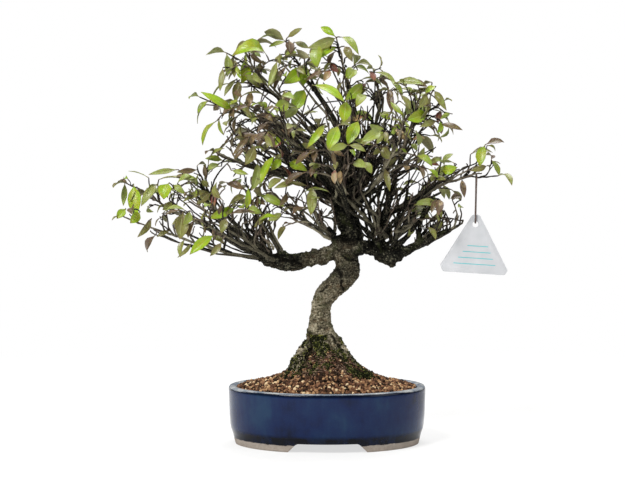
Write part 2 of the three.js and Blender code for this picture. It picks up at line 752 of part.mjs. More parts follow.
// The rows of a leaf from its base, thin inside the wood or a square stalk, to its pointed tip.
function leafRows(base, tip, width, arch, face, stalked) {
  const length = base.distanceTo(tip);
  const axis = tip.clone().sub(base).normalize();
  const normal = axis.clone().cross(face).normalize().cross(axis);
  const outline = length > leaf.long ? leaf.longOutline : leaf.shortOutline;
  const blade = outline.map(([share, wide]) => {
    const rise = arch * length * 4 * share * (1 - share);
    return [base.clone().lerp(tip, share).addScaledVector(normal, rise), width * wide, leaf.thickness];
  });
  const root = stalked ? [base, leaf.stalk, leaf.stalk] : [base, 0, leaf.thickness];
  return [root, ...blade];
}

// Leaves lie flat and face the sky, and those that hang face away from the middle of the crown.
const crownAxis = new THREE.Vector3(18, 0, 0);
function leafFace(place, axis) {
  const outward = place.clone().sub(crownAxis).setZ(0);
  outward.y *= 3;
  const steep = Math.abs(axis.z);
  return up.clone().multiplyScalar(1 - 0.8 * steep).addScaledVector(outward.normalize(), 0.45 + steep);
}

// A leaf that goes on from the end of a line and droops, with the line as its stalk.
function leafAtEnd(line, seed, extraDroop) {
  const random = randomFrom(seed);
  const [end, before] = [vec(line.at(-1)), vec(line.at(-2))];
  const heading = end.clone().sub(before).normalize();
  const across = heading.clone().cross(up).normalize();
  const [droop, sway, size, slim] = [random(), random(), random(), random()];
  const axis = heading
    .clone()
    .multiplyScalar(leaf.goesOn)
    .addScaledVector(across, (sway - 0.5) * leaf.aside)
    .addScaledVector(up, -leaf.droop - droop - extraDroop)
    .normalize();
  const length = leaf.smallest + leaf.spread * size;
  const tip = end.clone().addScaledVector(axis, length);
  const face = leafFace(end, axis);
  const stalk = line.slice(0, -1).map((point) => {
    const thick = point[3] * twig.squareness;
    return [vec(point), thick, thick];
  });
  const blade = leafRows(end, tip, length * (0.36 + 0.08 * slim), 0.05 + 0.1 * slim, face, true);
  return bladeSolid([...stalk, ...blade], face);
}

// A leaf that shows from the front, from the wood at root, on a stalk if its base is far from it.
const shownFace = new THREE.Vector3(0.1, -1, 0.45);
function shownLeaf(root, base, tip, width, arch) {
  const stalked = base.distanceTo(root) > 0;
  const rows = leafRows(base, tip, width, arch, shownFace, stalked);
  if (!stalked) return [bladeSolid(rows, shownFace)];
  const axis = tip.clone().sub(base).normalize();
  const doublesBack = base.clone().sub(root).normalize().dot(axis) < -0.2;
  if (!doublesBack) {
    const foot = [root, leaf.stalk * 1.2, leaf.stalk * 1.2];
    return [bladeSolid([foot, ...rows], shownFace)];
  }
  const intoBlade = base.clone().addScaledVector(axis, 0.8);
  const ends = [root, intoBlade].map((end) => [...end.toArray(), leaf.stalk * 0.65]);
  return [bladeSolid(rows, shownFace), stick(ends, 3, 1)];
}

// The point of a spray's wood that lies nearest to a leaf's base as seen from the front.
function nearestWood(lines, x, z) {
  const places = lines.flatMap((line) =>
    line.slice(1).flatMap((to, i) =>
      [0, 0.25, 0.5, 0.75, 1].map((share) => vec(line[i]).lerp(vec(to), share)),
    ),
  );
  const far = (place) => Math.hypot(place.x - x, place.z - z);
  return places.reduce((best, place) => (far(place) < far(best) ? place : best));
}

const trunk = makeTrunk(0);
const trunkClear = makeTrunk(clearance);
const trunkHole = makeTrunk(1.5 * clearance);
const screenPockets = bothDrains.map((x) => {
  const top = pot.floorTop + screen.thickness + 2 * clearance;
  return boxSolid([screen.pocket, screen.pocket, 2 * screen.thickness], [x, 0, top - screen.thickness]);
});
const armAtWire = spineStations(sprays.right_arm.spine).reduce((best, station) =>
  Math.abs(station.place.x - wire.hangX) < Math.abs(best.place.x - wire.hangX) ? station : best,
);
const solids = {
  pot: makePot(),
  drain_screen_left: makeScreen(-drain.x),
  drain_screen_right: makeScreen(drain.x),
  soil: largestOf(makeSoil([trunkHole, ...screenPockets])),
  trunk,
  label: makeLabel(),
  label_wire: makeWire(armAtWire),
};

// What is already in place, so that the wood and leaves of one spray stay clear of all the others.
const placed = [];
const keep = (solid, owner) => placed.push({ solid, owner, box: solid.boundingBox() });
for (const owner of ["pot", "soil", "label", "label_wire"]) keep(solids[owner], owner);
const isNear = (a, b) =>
  [0, 1, 2].every((k) => a.min[k] - clearance < b.max[k] && b.min[k] - clearance < a.max[k]);
function isClear(solid, owner) {
  const box = solid.boundingBox();
  return placed.every(
    (other) =>
      other.owner === owner ||
      !isNear(box, other.box) ||
      other.solid.minGap(solid, clearance) > clearance * 0.9,
  );
}

// Of some choices that are clear of every other spray, the one that touches least of its own.
function grow(name, spray, choices) {
  const touchesOf = (solid) => spray.solids.filter((own) => solid.minGap(own, clearance) < 0.05).length;
  let best = null;
  for (const { line, make } of choices) {
    const made = make();
    if (!made.every((solid) => isClear(solid, name))) continue;
    const touches = made.reduce((sum, solid) => sum + touchesOf(solid), 0);
    if (!best || touches < best.touches) best = { touches, line, made };
    if (touches <= made.length) break;
  }
  if (!best) return null;
  for (const solid of best.made) {
    keep(solid, name);
    spray.solids.push(solid);
  }
  return best.line;
}

// Spines, which each end in a leaf.
const extraDroops = [0, 0.5, 1, -0.5];
const grown = {};
Object.entries(sprays).forEach(([name, { spine }], sprayIndex) => {
  const choices = extraDroops.map((droop) => leafAtEnd(spine, 77 + sprayIndex, droop));
  const wood = choices.find((choice) => isClear(choice.subtract(trunkClear), name)) ?? choices[0];
  keep(wood.subtract(trunkClear), name);
  grown[name] = { lines: [spine], solids: [wood], taken: [] };
});

// Twigs that end in a leaf, bent aside or hung lower where another spray is in the way, and then
// the leaves that show from the front.
const bends = [[0, 0, 0], [0, 7, 0], [0, -7, 0], [5, 0, 5], [-5, 0, 5], [0, 14, 4], [0, -14, 4]];
const leafSways = [-3, 3, -9, 9, -15, 15];
Object.entries(sprays).forEach(([name, { spine, tips, leaves }], sprayIndex) => {
  const spray = grown[name];
  const stations = spineStations(spine);
  tips.forEach((tip, tipIndex) => {
    const seed = 1000 + sprayIndex * 97 + tipIndex * 13;
    const lines = bends.map((bend) => twigLine(stations, vec(tip), vec(bend), spray.taken));
    const leafy = lines.flatMap((line) =>
      extraDroops.map((droop) => ({ line, make: () => [leafAtEnd(line, seed, droop)] })),
    );
    const bare = lines.map((line) => ({ line, make: () => [stick(line, 3, 2)] }));
    const line = grow(name, spray, [...leafy, ...bare]);
    if (!line) return;
    spray.lines.push(line);
    spray.taken.push(vec(line[0]));
  });
  for (const [x, z, tipX, tipZ, width, arch] of leaves) {
    const root = nearestWood(spray.lines, x, z);
    const isFar = Math.hypot(root.x - x, root.z - z) >= leaf.reach;
    const base = isFar ? new THREE.Vector3(x, root.y - 2, z) : root;
    const choices = leafSways.map((sway) => {
      const tip = new THREE.Vector3(tipX, base.y + sway, tipZ);
      return { make: () => shownLeaf(root, base, tip, width, arch) };
    });
    grow(name, spray, choices);
  }
});

const tree = new THREE.Group();
const slots = {
  pot: glaze,
  drain_screen_left: plasticMesh,
  drain_screen_right: plasticMesh,
  soil: grit,
  trunk: bark,
  label: labelPlastic,
  label_wire: coatedWire,
};
for (const [name, solid] of Object.entries(solids)) tree.add(meshOf(name, solid, slots[name]));
for (const [name, spray] of Object.entries(grown)) {
  const whole = wasm.Manifold.union(spray.solids).subtract(trunkClear);
  tree.add(meshOf("spray_" + name, largestOf(whole).simplify(0.02), foliage));
}

// The origin is at the table, below the middle of the whole bonsai.
const middle = new THREE.Box3().setFromObject(tree).getCenter(new THREE.Vector3());
tree.position.set(-middle.x, -middle.y, pot.stand);
const bonsai = new THREE.Group();
bonsai.add(tree);

export default bonsai;
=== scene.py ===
# An asiatic jasmine grown as a bonsai: a glazed oval pot, gritty soil, a gnarled trunk, leafy
# sprays, and a blank label that hangs from the right arm. Sizes are in millimetres unless noted.
import math
import random
from contextlib import contextmanager

import bpy
import numpy as np
from mathutils import Euler, Matrix, Quaternion, Vector, noise
from mathutils.bvhtree import BVHTree


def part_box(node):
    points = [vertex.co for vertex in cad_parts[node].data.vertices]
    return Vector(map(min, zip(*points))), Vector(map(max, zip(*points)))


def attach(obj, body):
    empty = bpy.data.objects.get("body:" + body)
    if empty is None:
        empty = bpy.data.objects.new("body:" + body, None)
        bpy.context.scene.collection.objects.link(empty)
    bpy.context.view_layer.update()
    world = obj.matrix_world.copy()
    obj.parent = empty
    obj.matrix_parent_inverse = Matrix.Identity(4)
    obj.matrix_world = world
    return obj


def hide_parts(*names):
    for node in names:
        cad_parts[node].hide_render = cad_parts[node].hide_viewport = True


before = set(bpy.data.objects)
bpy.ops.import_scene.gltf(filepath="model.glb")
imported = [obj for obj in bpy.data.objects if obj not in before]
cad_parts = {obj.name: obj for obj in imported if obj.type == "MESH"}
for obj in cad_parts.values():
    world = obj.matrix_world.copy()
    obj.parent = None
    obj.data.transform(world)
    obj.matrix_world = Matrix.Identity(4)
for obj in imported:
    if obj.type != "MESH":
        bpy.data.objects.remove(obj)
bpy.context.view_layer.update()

mm = 0.001
up = Vector((0, 0, 1))
rimHeight = 55  # heights count from this far below the pot's rim
potLow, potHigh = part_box("pot")
home = Vector(((potLow.x + potHigh.x) / 2, (potLow.y + potHigh.y) / 2, potHigh.z - rimHeight * mm))


def spot(x, y, z):
    return home + Vector((x, y, z)) * mm


def local(place):
    # the opposite of spot
    return (place - home) / mm


def lerp(a, b, share):
    return a + (b - a) * share


def clamp(value):
    return min(max(value, 0), 1)


def stray(chance, *spreads):
    # a random vector, with a spread for each axis or one for all three
    return Vector([chance.gauss(0, spread) for spread in (spreads * 3)[:3]])


def pick(*pieces):
    bpy.ops.object.select_all(action="DESELECT")
    for piece in pieces:
        piece.select_set(True)
    bpy.context.view_layer.objects.active = pieces[0]
    return pieces[0]


def add(primitive, **settings):
    bpy.ops.object.select_all(action="DESELECT")
    primitive(**settings)
    return bpy.context.object


@contextmanager
def editing(piece):
    # edit mode, with the whole mesh selected
    pick(piece)
    bpy.ops.object.mode_set(mode="EDIT")
    bpy.ops.mesh.select_all(action="SELECT")
    yield
    bpy.ops.object.mode_set(mode="OBJECT")


def addModifier(piece, kind, **settings):
    modifier = piece.modifiers.new(kind.lower(), kind)
    for setting, value in settings.items():
        setattr(modifier, setting, value)
    pick(piece)
    bpy.ops.object.modifier_apply(modifier=modifier.name)


def bevelEdges(piece, width, angle):
    addModifier(piece, "BEVEL", width=width * mm, segments=2, limit_method="ANGLE",
                angle_limit=math.radians(angle))


def cutOut(piece, cutter):
    addModifier(piece, "BOOLEAN", object=cutter, operation="DIFFERENCE", solver="EXACT")
    bpy.data.objects.remove(cutter)


def settle(piece):
    pick(piece)
    bpy.ops.object.transform_apply(location=True, rotation=True, scale=True)


def keepValues(mesh, **values):
    # a number at each corner, for the materials to read
    for name, value in values.items():
        mesh.attributes.new(name, "FLOAT", "POINT").data.foreach_set("value", value.astype(np.float32))


def finishPiece(piece, finish, nodes, smoothAngle):
    settle(piece)
    bpy.ops.object.shade_smooth_by_angle(angle=math.radians(smoothAngle))
    piece.data.materials.clear()
    piece.data.materials.append(finish)
    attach(piece, "root")
    if nodes:
        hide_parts(*nodes)
    print(f"{piece.name}: {sum(len(face.vertices) - 2 for face in piece.data.polygons)} triangles")


# Materials

def paint(code):
    # a colour as it is seen, such as 7d9440, as the linear colour that a shader wants
    seen = [int(code[i:i + 2], 16) / 255 for i in (0, 2, 4)]
    linear = [c / 12.92 if c <= 0.04045 else ((c + 0.055) / 1.055) ** 2.4 for c in seen]
    return (*linear, 1)


class Wire:
    # one socket of a material; arithmetic on it adds the Math nodes, and a colour is given by its code
    def __init__(self, tree, socket=None):
        self.tree = tree
        self.socket = socket

    def node(self, kind, settings, inputs, output=0):
        made = self.tree.nodes.new(kind)
        for name, value in settings.items():
            if name == "stops":
                stops = made.color_ramp.elements
                while len(stops) < len(value):
                    stops.new(0.5)
                for stop, (place, code) in zip(stops, value.items()):
                    stop.position = place
                    stop.color = paint(code)
            else:
                setattr(made, name, value)
        for name, value in inputs.items():
            if isinstance(value, Wire):
                self.tree.links.new(value.socket, made.inputs[name])
            else:
                made.inputs[name].default_value = paint(value) if isinstance(value, str) else value
        return Wire(self.tree, made.outputs[output])

    def math(self, operation, *others):
        return self.node("ShaderNodeMath", {"operation": operation}, dict(enumerate(others)))

    def __add__(self, other):
        return self.math("ADD", self, other)

    def __sub__(self, other):
        return self.math("SUBTRACT", self, other)

    def __rsub__(self, other):
        return self.math("SUBTRACT", other, self)

    def __mul__(self, other):
        return self.math("MULTIPLY", self, other)

    def __abs__(self):
        return self.math("ABSOLUTE", self)

    __radd__ = __add__
    __rmul__ = __mul__

    def fraction(self):
        return self.math("FRACT", self)

    def least(self, other):
        return self.math("MINIMUM", self, other)

    def most(self, other):
        return self.math("MAXIMUM", self, other)

    def part(self, axis):
        return self.node("ShaderNodeSeparateXYZ", {}, {"Vector": self}, axis)

    def between(self, low, high):
        # 0 at low, 1 at high, smooth in the middle
        return self.node("ShaderNodeMapRange", {"interpolation_type": "SMOOTHSTEP"},
                         {"Value": self, "From Min": low, "From Max": high})

    def ramp(self, stops):
        # a colour for each of some values, and blends between them
        return self.node("ShaderNodeValToRGB", {"stops": stops}, {"Fac": self})

    def mix(self, first, second):
        # this value chooses between two colours
        return self.node("ShaderNodeMix", {"data_type": "RGBA"}, {0: self, 6: first, 7: second}, 2)


class Finish:
    # a material with its Principled shader, and the patterns that its colours are mixed from
    def __init__(self, name, roughness, specular=0.5, **constants):
        self.material = bpy.data.materials.new(name)
        self.material.use_nodes = True
        self.start = Wire(self.material.node_tree)
        self.shader = self.material.node_tree.nodes["Principled BSDF"]
        constants.update(Roughness=roughness, Specular_IOR_Level=specular)
        for name, value in constants.items():
            self.shader.inputs[name.replace("_", " ")].default_value = value
        self.place = self.start.node("ShaderNodeTexCoord", {}, {}, "Object")

    def noise(self, size, detail=3, roughness=0.55, stretch=None):
        # size is that of one blotch
        place = self.place
        if stretch:
            place = self.start.node("ShaderNodeMapping", {}, {"Vector": place, "Scale": stretch})
        return self.start.node("ShaderNodeTexNoise", {}, {
            "Vector": place, "Scale": 1 / (size * mm), "Detail": detail, "Roughness": roughness})

    def cells(self, size):
        return self.start.node("ShaderNodeTexVoronoi", {}, {"Vector": self.place, "Scale": 1 / (size * mm)})

    def measure(self, axis):
        # millimetres along an axis from the middle of the pot
        return (self.place.part(axis) - home[axis]) * (1 / mm)

    def own(self, name):
        return self.start.node("ShaderNodeAttribute", {"attribute_name": name}, {}, "Fac")

    def done(self, color, roughness, height, depth, strength):
        # depth is that of the relief
        tree = self.material.node_tree
        tree.links.new(color.socket, self.shader.inputs["Base Color"])
        if roughness:
            tree.links.new(roughness.socket, self.shader.inputs["Roughness"])
        bumped = self.start.node("ShaderNodeBump", {}, {
            "Height": height, "Distance": depth * mm, "Strength": strength})
        tree.links.new(bumped.socket, self.shader.inputs["Normal"])
        return self.material


def layered(color, *layers):
    # each layer is how much it covers, and its colour
    for cover, layer in layers:
        color = cover.mix(color, layer)
    return color


def makeGlaze():
    finish = Finish("cobaltGlaze", 0.16, 0.17)
    height = finish.measure(2)
    cloud = finish.noise(38)
    streak = finish.noise(5, stretch=(1, 1, 0.16))
    wander = finish.noise(9)
    cloudy = cloud * 0.8 + streak * 0.2
    glaze = cloudy.ramp({0.34: "06112a", 0.46: "0a1c42", 0.56: "0e2346", 0.68: "17304c"})
    pinholes = finish.cells(1.6).between(0.3, 0.1) * 0.2
    # painted shade: near-black bands where the wall turns in above the feet, and just under the rim
    paintedShadeBands = (height.between(15, 10) * (wander * 1.6 + 0.1)).most(height.between(50.4, 52.6) * 0.8)
    # the pale lip is partly glaze breaking thin over the edge and partly a painted highlight of the sky,
    # strongest at the two ends
    thinGlazeAndHighlight = (finish.own("lip") + wander * 0.5 - 0.25).between(0.3, 0.85)
    pale = finish.noise(14).between(0.35, 0.65).mix("6a7480", "aaacac")
    edge = (finish.own("edge") + wander * 0.6 - 0.3).between(0.35, 0.8)
    glaze = layered(glaze, (pinholes, "2a4260"), (paintedShadeBands, "02040c"), (thinGlazeAndHighlight, pale), (edge, "2e231c"))
    clay = finish.noise(3.2, 4).mix("827970", "aca196")
    clay = (finish.cells(1.1).between(0.3, 0.08) * 0.6).mix(clay, "443a30")
    bare = (height + wander * 3.4 + finish.noise(1.6, 2) * 0.9).between(6.5, 5.9)
    bare = bare.most(finish.own("under"))
    ripple = finish.noise(16, 2) * 0.9 + finish.noise(1.1, 2) * 0.05 + bare * finish.noise(0.7) * 0.4
    return finish.done(bare.mix(glaze, clay), bare * 0.68 + 0.13 + streak * 0.07, ripple, 0.5, 0.55)


def makeGrit():
    finish = Finish("bakedClayGrit", 0.92, 0.1)
    color = (finish.own("tone") + finish.noise(0.9) * 0.3 - 0.15).ramp({
        0.0: "100b08", 0.22: "2b1c15", 0.44: "5b3e2e", 0.63: "856046", 0.82: "b08b63", 1.0: "dcc49c"})
    dust = finish.noise(0.35, 2).between(0.5, 0.8) * 0.22
    relief = finish.noise(0.4) + finish.cells(0.5) * 0.5
    return finish.done(dust.mix(color, "c9a57c"), None, relief, 0.3, 0.8)


def makeBark():
    # grey and lichened low on the trunk, near black and rough on the limbs
    finish = Finish("oldBark", 0.9, 0.08)
    height = finish.measure(2)
    patch = finish.noise(9, 4)
    grain = finish.noise(1.9, 5, 0.7)
    bands = finish.noise(3.0, 4, 0.6, stretch=(0.7, 0.7, 2.2))
    fine = finish.noise(0.7, 4, 0.7)
    pits = finish.cells(2.8)
    mixed = grain * 0.36 + bands * 0.18 + fine * 0.16 + patch * 0.3
    low = mixed.ramp({0.42: "2a261d", 0.47: "524c3d", 0.51: "7a725d", 0.57: "b9b098"})
    high = mixed.ramp({0.45: "020202", 0.5: "0f0f0c", 0.54: "2f2e26", 0.6: "76725f"})
    # the collar where the limbs leave the trunk is paler than the limbs
    across = finish.measure(0)
    collar = across.between(-30, -16).least(across.between(34, 18))
    collar = collar.least(height.between(202, 194)).least(height.between(170, 180))
    dark = (height + patch * 90 - 45).between(131, 184) * (1 - collar * 0.4)
    algae = finish.noise(13).between(0.47, 0.36) * 0.5
    warm = finish.noise(6).between(0.52, 0.68) * (0.4 - dark * 0.4)
    lichen = finish.cells(3.0).between(0.26, 0.12) * finish.noise(5).between(0.48, 0.62)
    # painted shade: the recessed pits and the pressed folds are darkened near black
    pitShade, foldShade = pits.between(0.28, 0.13) * 0.92, finish.own("fold").between(0.25, 0.9) * 0.88
    color = layered(dark.mix(low, high), (algae, "363a22"), (warm, "6f5a44"), (lichen * 0.6, "a19f89"),
                    (pitShade, "0b0a06"), (foldShade, "0c0a07"))
    relief = grain * 0.9 + bands * 0.3 + fine * 0.3 + pits.between(0.12, 0.34) * 0.5 + lichen * 0.25
    return finish.done(color, None, relief, 1.4, 1)


def makeTwigBark():
    # grey and rough on old shoots, reddish brown towards their tips; some shoots are paler than others
    finish = Finish("youngBark", 0.68, 0.12)
    youth = finish.own("youth")
    grain = finish.noise(1.3, 4, 0.65, stretch=(1, 1, 0.7))
    patch = finish.noise(9, 2)
    shade = finish.own("shade") + patch * 0.5 - 0.25
    old = shade.ramp({0.12: "040403", 0.3: "211f18", 0.56: "514d3f", 0.85: "8c8670"})
    young = shade.ramp({0.12: "060504", 0.5: "382d28", 0.9: "66584d"})
    # painted highlight on the raised grain and painted shade in its cracks, from the same noise as the relief
    ridgeHighlight, crackShade = grain.between(0.52, 0.74) * 0.6, grain.between(0.46, 0.3) * 0.85
    warts = finish.cells(1.4).between(0.18, 0.07) * (1 - youth * 0.5) * 0.45
    color = layered((youth + patch * 0.4 - 0.2).between(0.35, 0.95).mix(old, young),
                    (ridgeHighlight, "959078"), (crackShade, "0a0908"), (warts, "8d8874"))
    return finish.done(color, 0.84 - youth * 0.2, grain + finish.noise(0.5) * 0.4, 0.5, 0.9)


def makeLeafSkin():
    # tone runs from red through bronze and olive to bright lime; the UV map runs along the blade
    finish = Finish("jasmineLeaf", 0.3, 0.45, Subsurface_Weight=0.12,
                    Subsurface_Radius=(0.4 * mm, 0.8 * mm, 0.2 * mm), Subsurface_Scale=1)
    blade = finish.start.node("ShaderNodeUVMap", {"uv_map": "blade"}, {})
    across, along = blade.part(0), blade.part(1)
    tone = finish.own("tone")
    aside = abs(across - 0.5) * 2
    blotch = finish.noise(4.5)
    drift = tone + (blotch - 0.5) * 0.26 + (along - 0.5) * 0.1 + (finish.noise(1.2, 2) - 0.5) * 0.08
    color = drift.ramp({
        0.0: "5c2f28", 0.1: "844a3c", 0.19: "ab9264", 0.28: "584234", 0.4: "625034", 0.54: "76753a",
        0.68: "88944a", 0.8: "7c9222", 0.92: "84a010", 1.0: "8aa814"})
    ripe = finish.noise(9, 2).between(0.45, 0.62) * tone.between(0.6, 0.85) * 0.5
    veins = abs((along * 9 - aside * 2.6).fraction() - 0.5)
    vein = veins.between(0.08, 0) * aside.between(0.02, 0.2) * aside.between(1, 0.75)
    rib = aside.between(0.09, 0.02)
    dull = finish.noise(2.2, 4, 0.7).between(0.54, 0.74) * 0.4
    margin = (aside + blotch * 0.3).between(0.98, 1.16) * (1 - tone * 0.5)
    tip = (along + blotch * 0.25).between(1, 1.14)
    stalk = along.between(0.13, 0.08)
    under = finish.own("under")
    color = layered(color, (ripe, "968f24"), (vein * 0.14, "bccb72"), (rib * 0.24, "c3cd80"),
                    (dull, "5c5a2c"), (margin * 0.7, "5b3a26"), (tip * 0.65, "6f4a2c"),
                    (stalk * 0.7, "6a4a34"), (under * 0.4, "959c68"))
    relief = veins.between(0.12, 0) * -0.5 - rib * 0.7 + finish.noise(1.4, 2) * 0.5
    return finish.done(color, 0.26 + under * 0.3 + finish.noise(2.4, 2) * 0.16, relief, 0.4, 0.75)


def makeMoss():
    finish = Finish("darkMoss", 0.95, 0.05)
    fine = finish.noise(0.5)
    color = (finish.own("tone") * 0.8 + fine * 0.4 - 0.1).ramp({
        0.0: "040503", 0.35: "14170d", 0.55: "2d311a", 0.74: "52542c", 0.88: "78783c", 1.0: "9c9666"})
    return finish.done(color, None, fine, 0.3, 0.8)


def makeRootSkin():
    finish = Finish("fineRoot", 0.8, 0.2)
    grain = finish.noise(1.2, 4, stretch=(0.5, 0.5, 1))
    return finish.done(grain.ramp({0.34: "1e1611", 0.5: "543e31", 0.66: "a08770"}), None, grain, 0.3, 0.7)


def makeScreenPlastic():
    finish = Finish("blackMesh", 0.55)
    wear = finish.noise(2.5, 4)
    color = wear.ramp({0.35: "141517", 0.7: "33312e"})
    return finish.done(color, wear * 0.3 + 0.4, finish.noise(0.5, 2), 0.1, 0.5)


def makeLabelPlastic(foot, slope, length, rules):
    # pale plastic, with plain rules parallel to its lower edge
    finish = Finish("labelPlastic", 0.4, 0.4)
    x, z = finish.measure(0) - foot[0], finish.measure(2) - foot[1]
    along = x * math.cos(slope) + z * math.sin(slope)
    rise = z * math.cos(slope) - x * math.sin(slope)
    scuff = finish.noise(1.6, 4, 0.7, stretch=(0.4, 1, 2.2)).between(0.62, 0.76) * 0.35
    color = scuff.mix(finish.noise(14).ramp({0.3: "b6b8bb", 0.7: "c3c4c7"}), "b9b8b4")
    lines = []
    for level, half in rules:
        middle = length / 2 + (level - rules[0][0]) * 0.12
        lines.append(abs(rise - level).between(0.5, 0.28) * abs(along - middle).between(half, half - 0.4))
    ruled = lines[0].most(lines[1]).most(lines[2]).most(lines[3])
    fade = finish.noise(2.2, 2).between(0.2, 0.5) * 0.25 + 0.7
    color = (ruled * fade).mix(color, "3fb3b8")
    return finish.done(color, 0.42 + scuff * 0.5, finish.noise(0.9, 2) + ruled * 0.6, 0.06, 0.5)


def makeWireCoat():
    finish = Finish("brownCoatedWire", 0.4)
    wear = finish.noise(1.8, 4)
    color = wear.ramp({0.3: "3a2c27", 0.6: "5c4a42", 0.8: "7b6a60"})
    return finish.done(color, wear * 0.3 + 0.25, finish.noise(0.6, 2), 0.08, 0.5)


# The camera and the studio

studio = {
    "distance": 1500,
    "eye": 245,
    "sideways": -14.5,
    "aim": 201.5,
    "pictureWidth": 625,  # what the camera sees at the trunk
    "keyPower": 42,
    "fillPower": 8,
    "skyStrength": 0.17,
    "floorRadius": 12,  # metres
}
eye = spot(studio["sideways"], -studio["distance"], studio["eye"])
aim = spot(studio["sideways"], 0, studio["aim"])
bpy.ops.object.camera_add(location=eye, rotation=(aim - eye).to_track_quat("-Z", "Y").to_euler())
camera = bpy.context.object
camera.data.sensor_width = 36
camera.data.lens = camera.data.sensor_width * (aim - eye).length / (studio["pictureWidth"] * mm)
camera.data.clip_start = 0.05
bpy.context.scene.camera = camera


def addSoftLight(name, location, power, size):
    bpy.ops.object.light_add(type="AREA", location=location)
    light = bpy.context.object
    light.name = name
    light.data.energy = power
    light.data.size = size
    light.rotation_euler = (Vector((0, 0, 0.2)) - Vector(location)).to_track_quat("-Z", "Y").to_euler()


addSoftLight("keyLight", (-0.9, -1.1, 1.5), studio["keyPower"], 0.7)
addSoftLight("fillLight", (1.3, -0.7, 0.9), studio["fillPower"], 1.1)
addSoftLight("topLight", (0.2, 0.7, 1.7), studio["keyPower"] * 0.7, 1.2)

sky = bpy.data.worlds.new("paleStudio")
sky.use_nodes = True
seen = Wire(sky.node_tree).node("ShaderNodeLightPath", {}, {}, "Is Camera Ray")
strength = seen * (1 - studio["skyStrength"]) + studio["skyStrength"]  # white to the eye, softer as a light
backdrop = sky.node_tree.nodes["Background"]
backdrop.inputs["Color"].default_value = (1, 1, 1, 1)
sky.node_tree.links.new(strength.socket, backdrop.inputs["Strength"])
bpy.context.scene.world = sky
bpy.context.scene.view_settings.view_transform = "Standard"


def makePaleFloor():
    # pale paper that fades into the light behind it, so that no horizon shows
    finish = Finish("palePaper", 0.8)
    finish.done(finish.noise(60).ramp({0.3: "f2f1ef", 0.7: "f8f8f7"}), None, finish.noise(0.8, 2), 0.05, 0.2)
    distance = finish.start.node("ShaderNodeVectorMath", {"operation": "LENGTH"}, {0: finish.place}, "Value")
    seen = finish.start.node("ShaderNodeLightPath", {}, {}, "Is Camera Ray")
    # to the camera the floor also glows, from 65% near the pot to fully far off: painted light that washes
    # out the shadows cast on it
    far = (distance.between(0.3, 0.95) * 0.35 + 0.65) * seen
    glow = finish.start.node("ShaderNodeEmission", {}, {"Color": (1, 1, 1, 1), "Strength": 1})
    paper = Wire(finish.material.node_tree, finish.shader.outputs[0])
    both = far.node("ShaderNodeMixShader", {}, {0: far, 1: paper, 2: glow})
    output = finish.material.node_tree.nodes["Material Output"]
    finish.material.node_tree.links.new(both.socket, output.inputs["Surface"])
    return finish.material


floor = add(bpy.ops.mesh.primitive_circle_add, vertices=96, radius=studio["floorRadius"], fill_type="NGON")
floor.name = "floor"
floor.data.materials.append(makePaleFloor())
print("stage: camera, lights and floor are in place")

# The pot

pot = {
    "halfLength": 98.5,
    "halfDepth": 77,
    "segments": 128,
    "outside": [[18.0, 6.4], [17.0, -2.2], [6.2, -2.2], [5.2, -1.6], [4.9, -0.4], [4.4, 6.4], [4.1, 7.8],
                [3.4, 9.6], [2.3, 13.0], [1.6, 17.0], [0.9, 26.0], [0.5, 37.4], [0.1, 48.0], [0.0, 51.6]],
    "rim": [[0.3, 53.2], [1.2, 54.5], [2.4, 55.0], [4.2, 55.0], [6.2, 54.6], [7.7, 53.6], [8.7, 52.0],
            [9.0, 49.6]],
    "inside": [[8.6, 46.5], [7.4, 42.5], [7.0, 38.0], [7.2, 28.0], [8.4, 20.0], [10.6, 16.4], [14.0, 15.0]],
    "footGaps": [(34.5, True), (15, False)],  # half the width of each, and whether it runs front to back
    "gapNarrowing": 4.5,  # on each side at its top
    "gapWidening": 12,  # on each side at the bottom of its cutter
    "gapRound": 2.2,
    "footHeight": 6.4,
    "cutterReach": 6,  # how far below zero height its cutter starts
    "cutterLength": 260,
    "drains": [-42, 42],
    "drainRadius": 7,
    "drainHeight": 12,  # of the middle of its cutter, and how long that is
    "drainLength": 40,
    "lipBottom": 53.2,
    "lipWidth": 8.8,
    # towards the ends the lip carries a painted highlight
    "lipHighlightFrom": 62,  # the lip is palest at the two ends of the oval
    "bareInside": 46,
    "wall": 6.6,
    "swayBottom": 9,
    "sway": 0.5,
}


def turnOval(name, profile, segments):
    # rings of [inset, height] rows, each drawn out of the one before, and both ends closed
    inset, height = profile[0]
    form = add(bpy.ops.mesh.primitive_circle_add, vertices=segments, radius=mm, location=home)
    halfLength, halfDepth = pot["halfLength"], pot["halfDepth"]
    with editing(form):
        size = (halfLength - inset, halfDepth - inset, 1)
        bpy.ops.transform.resize(value=size, center_override=tuple(home))
        bpy.ops.transform.translate(value=(0, 0, height * mm))
        bpy.ops.mesh.edge_face_add()
        bpy.ops.mesh.select_mode(type="EDGE")
        for (before, low), (inset, high) in zip(profile, profile[1:]):
            bpy.ops.mesh.extrude_edges_move()
            size = [(half - inset) / (half - before) for half in (halfLength, halfDepth)] + [1]
            bpy.ops.transform.resize(value=size, center_override=tuple(spot(0, 0, low)))
            bpy.ops.transform.translate(value=(0, 0, (high - low) * mm))
        bpy.ops.mesh.edge_face_add()
        bpy.ops.mesh.select_all(action="SELECT")
        bpy.ops.mesh.normals_make_consistent(inside=False)
    form.name = name
    settle(form)
    return form


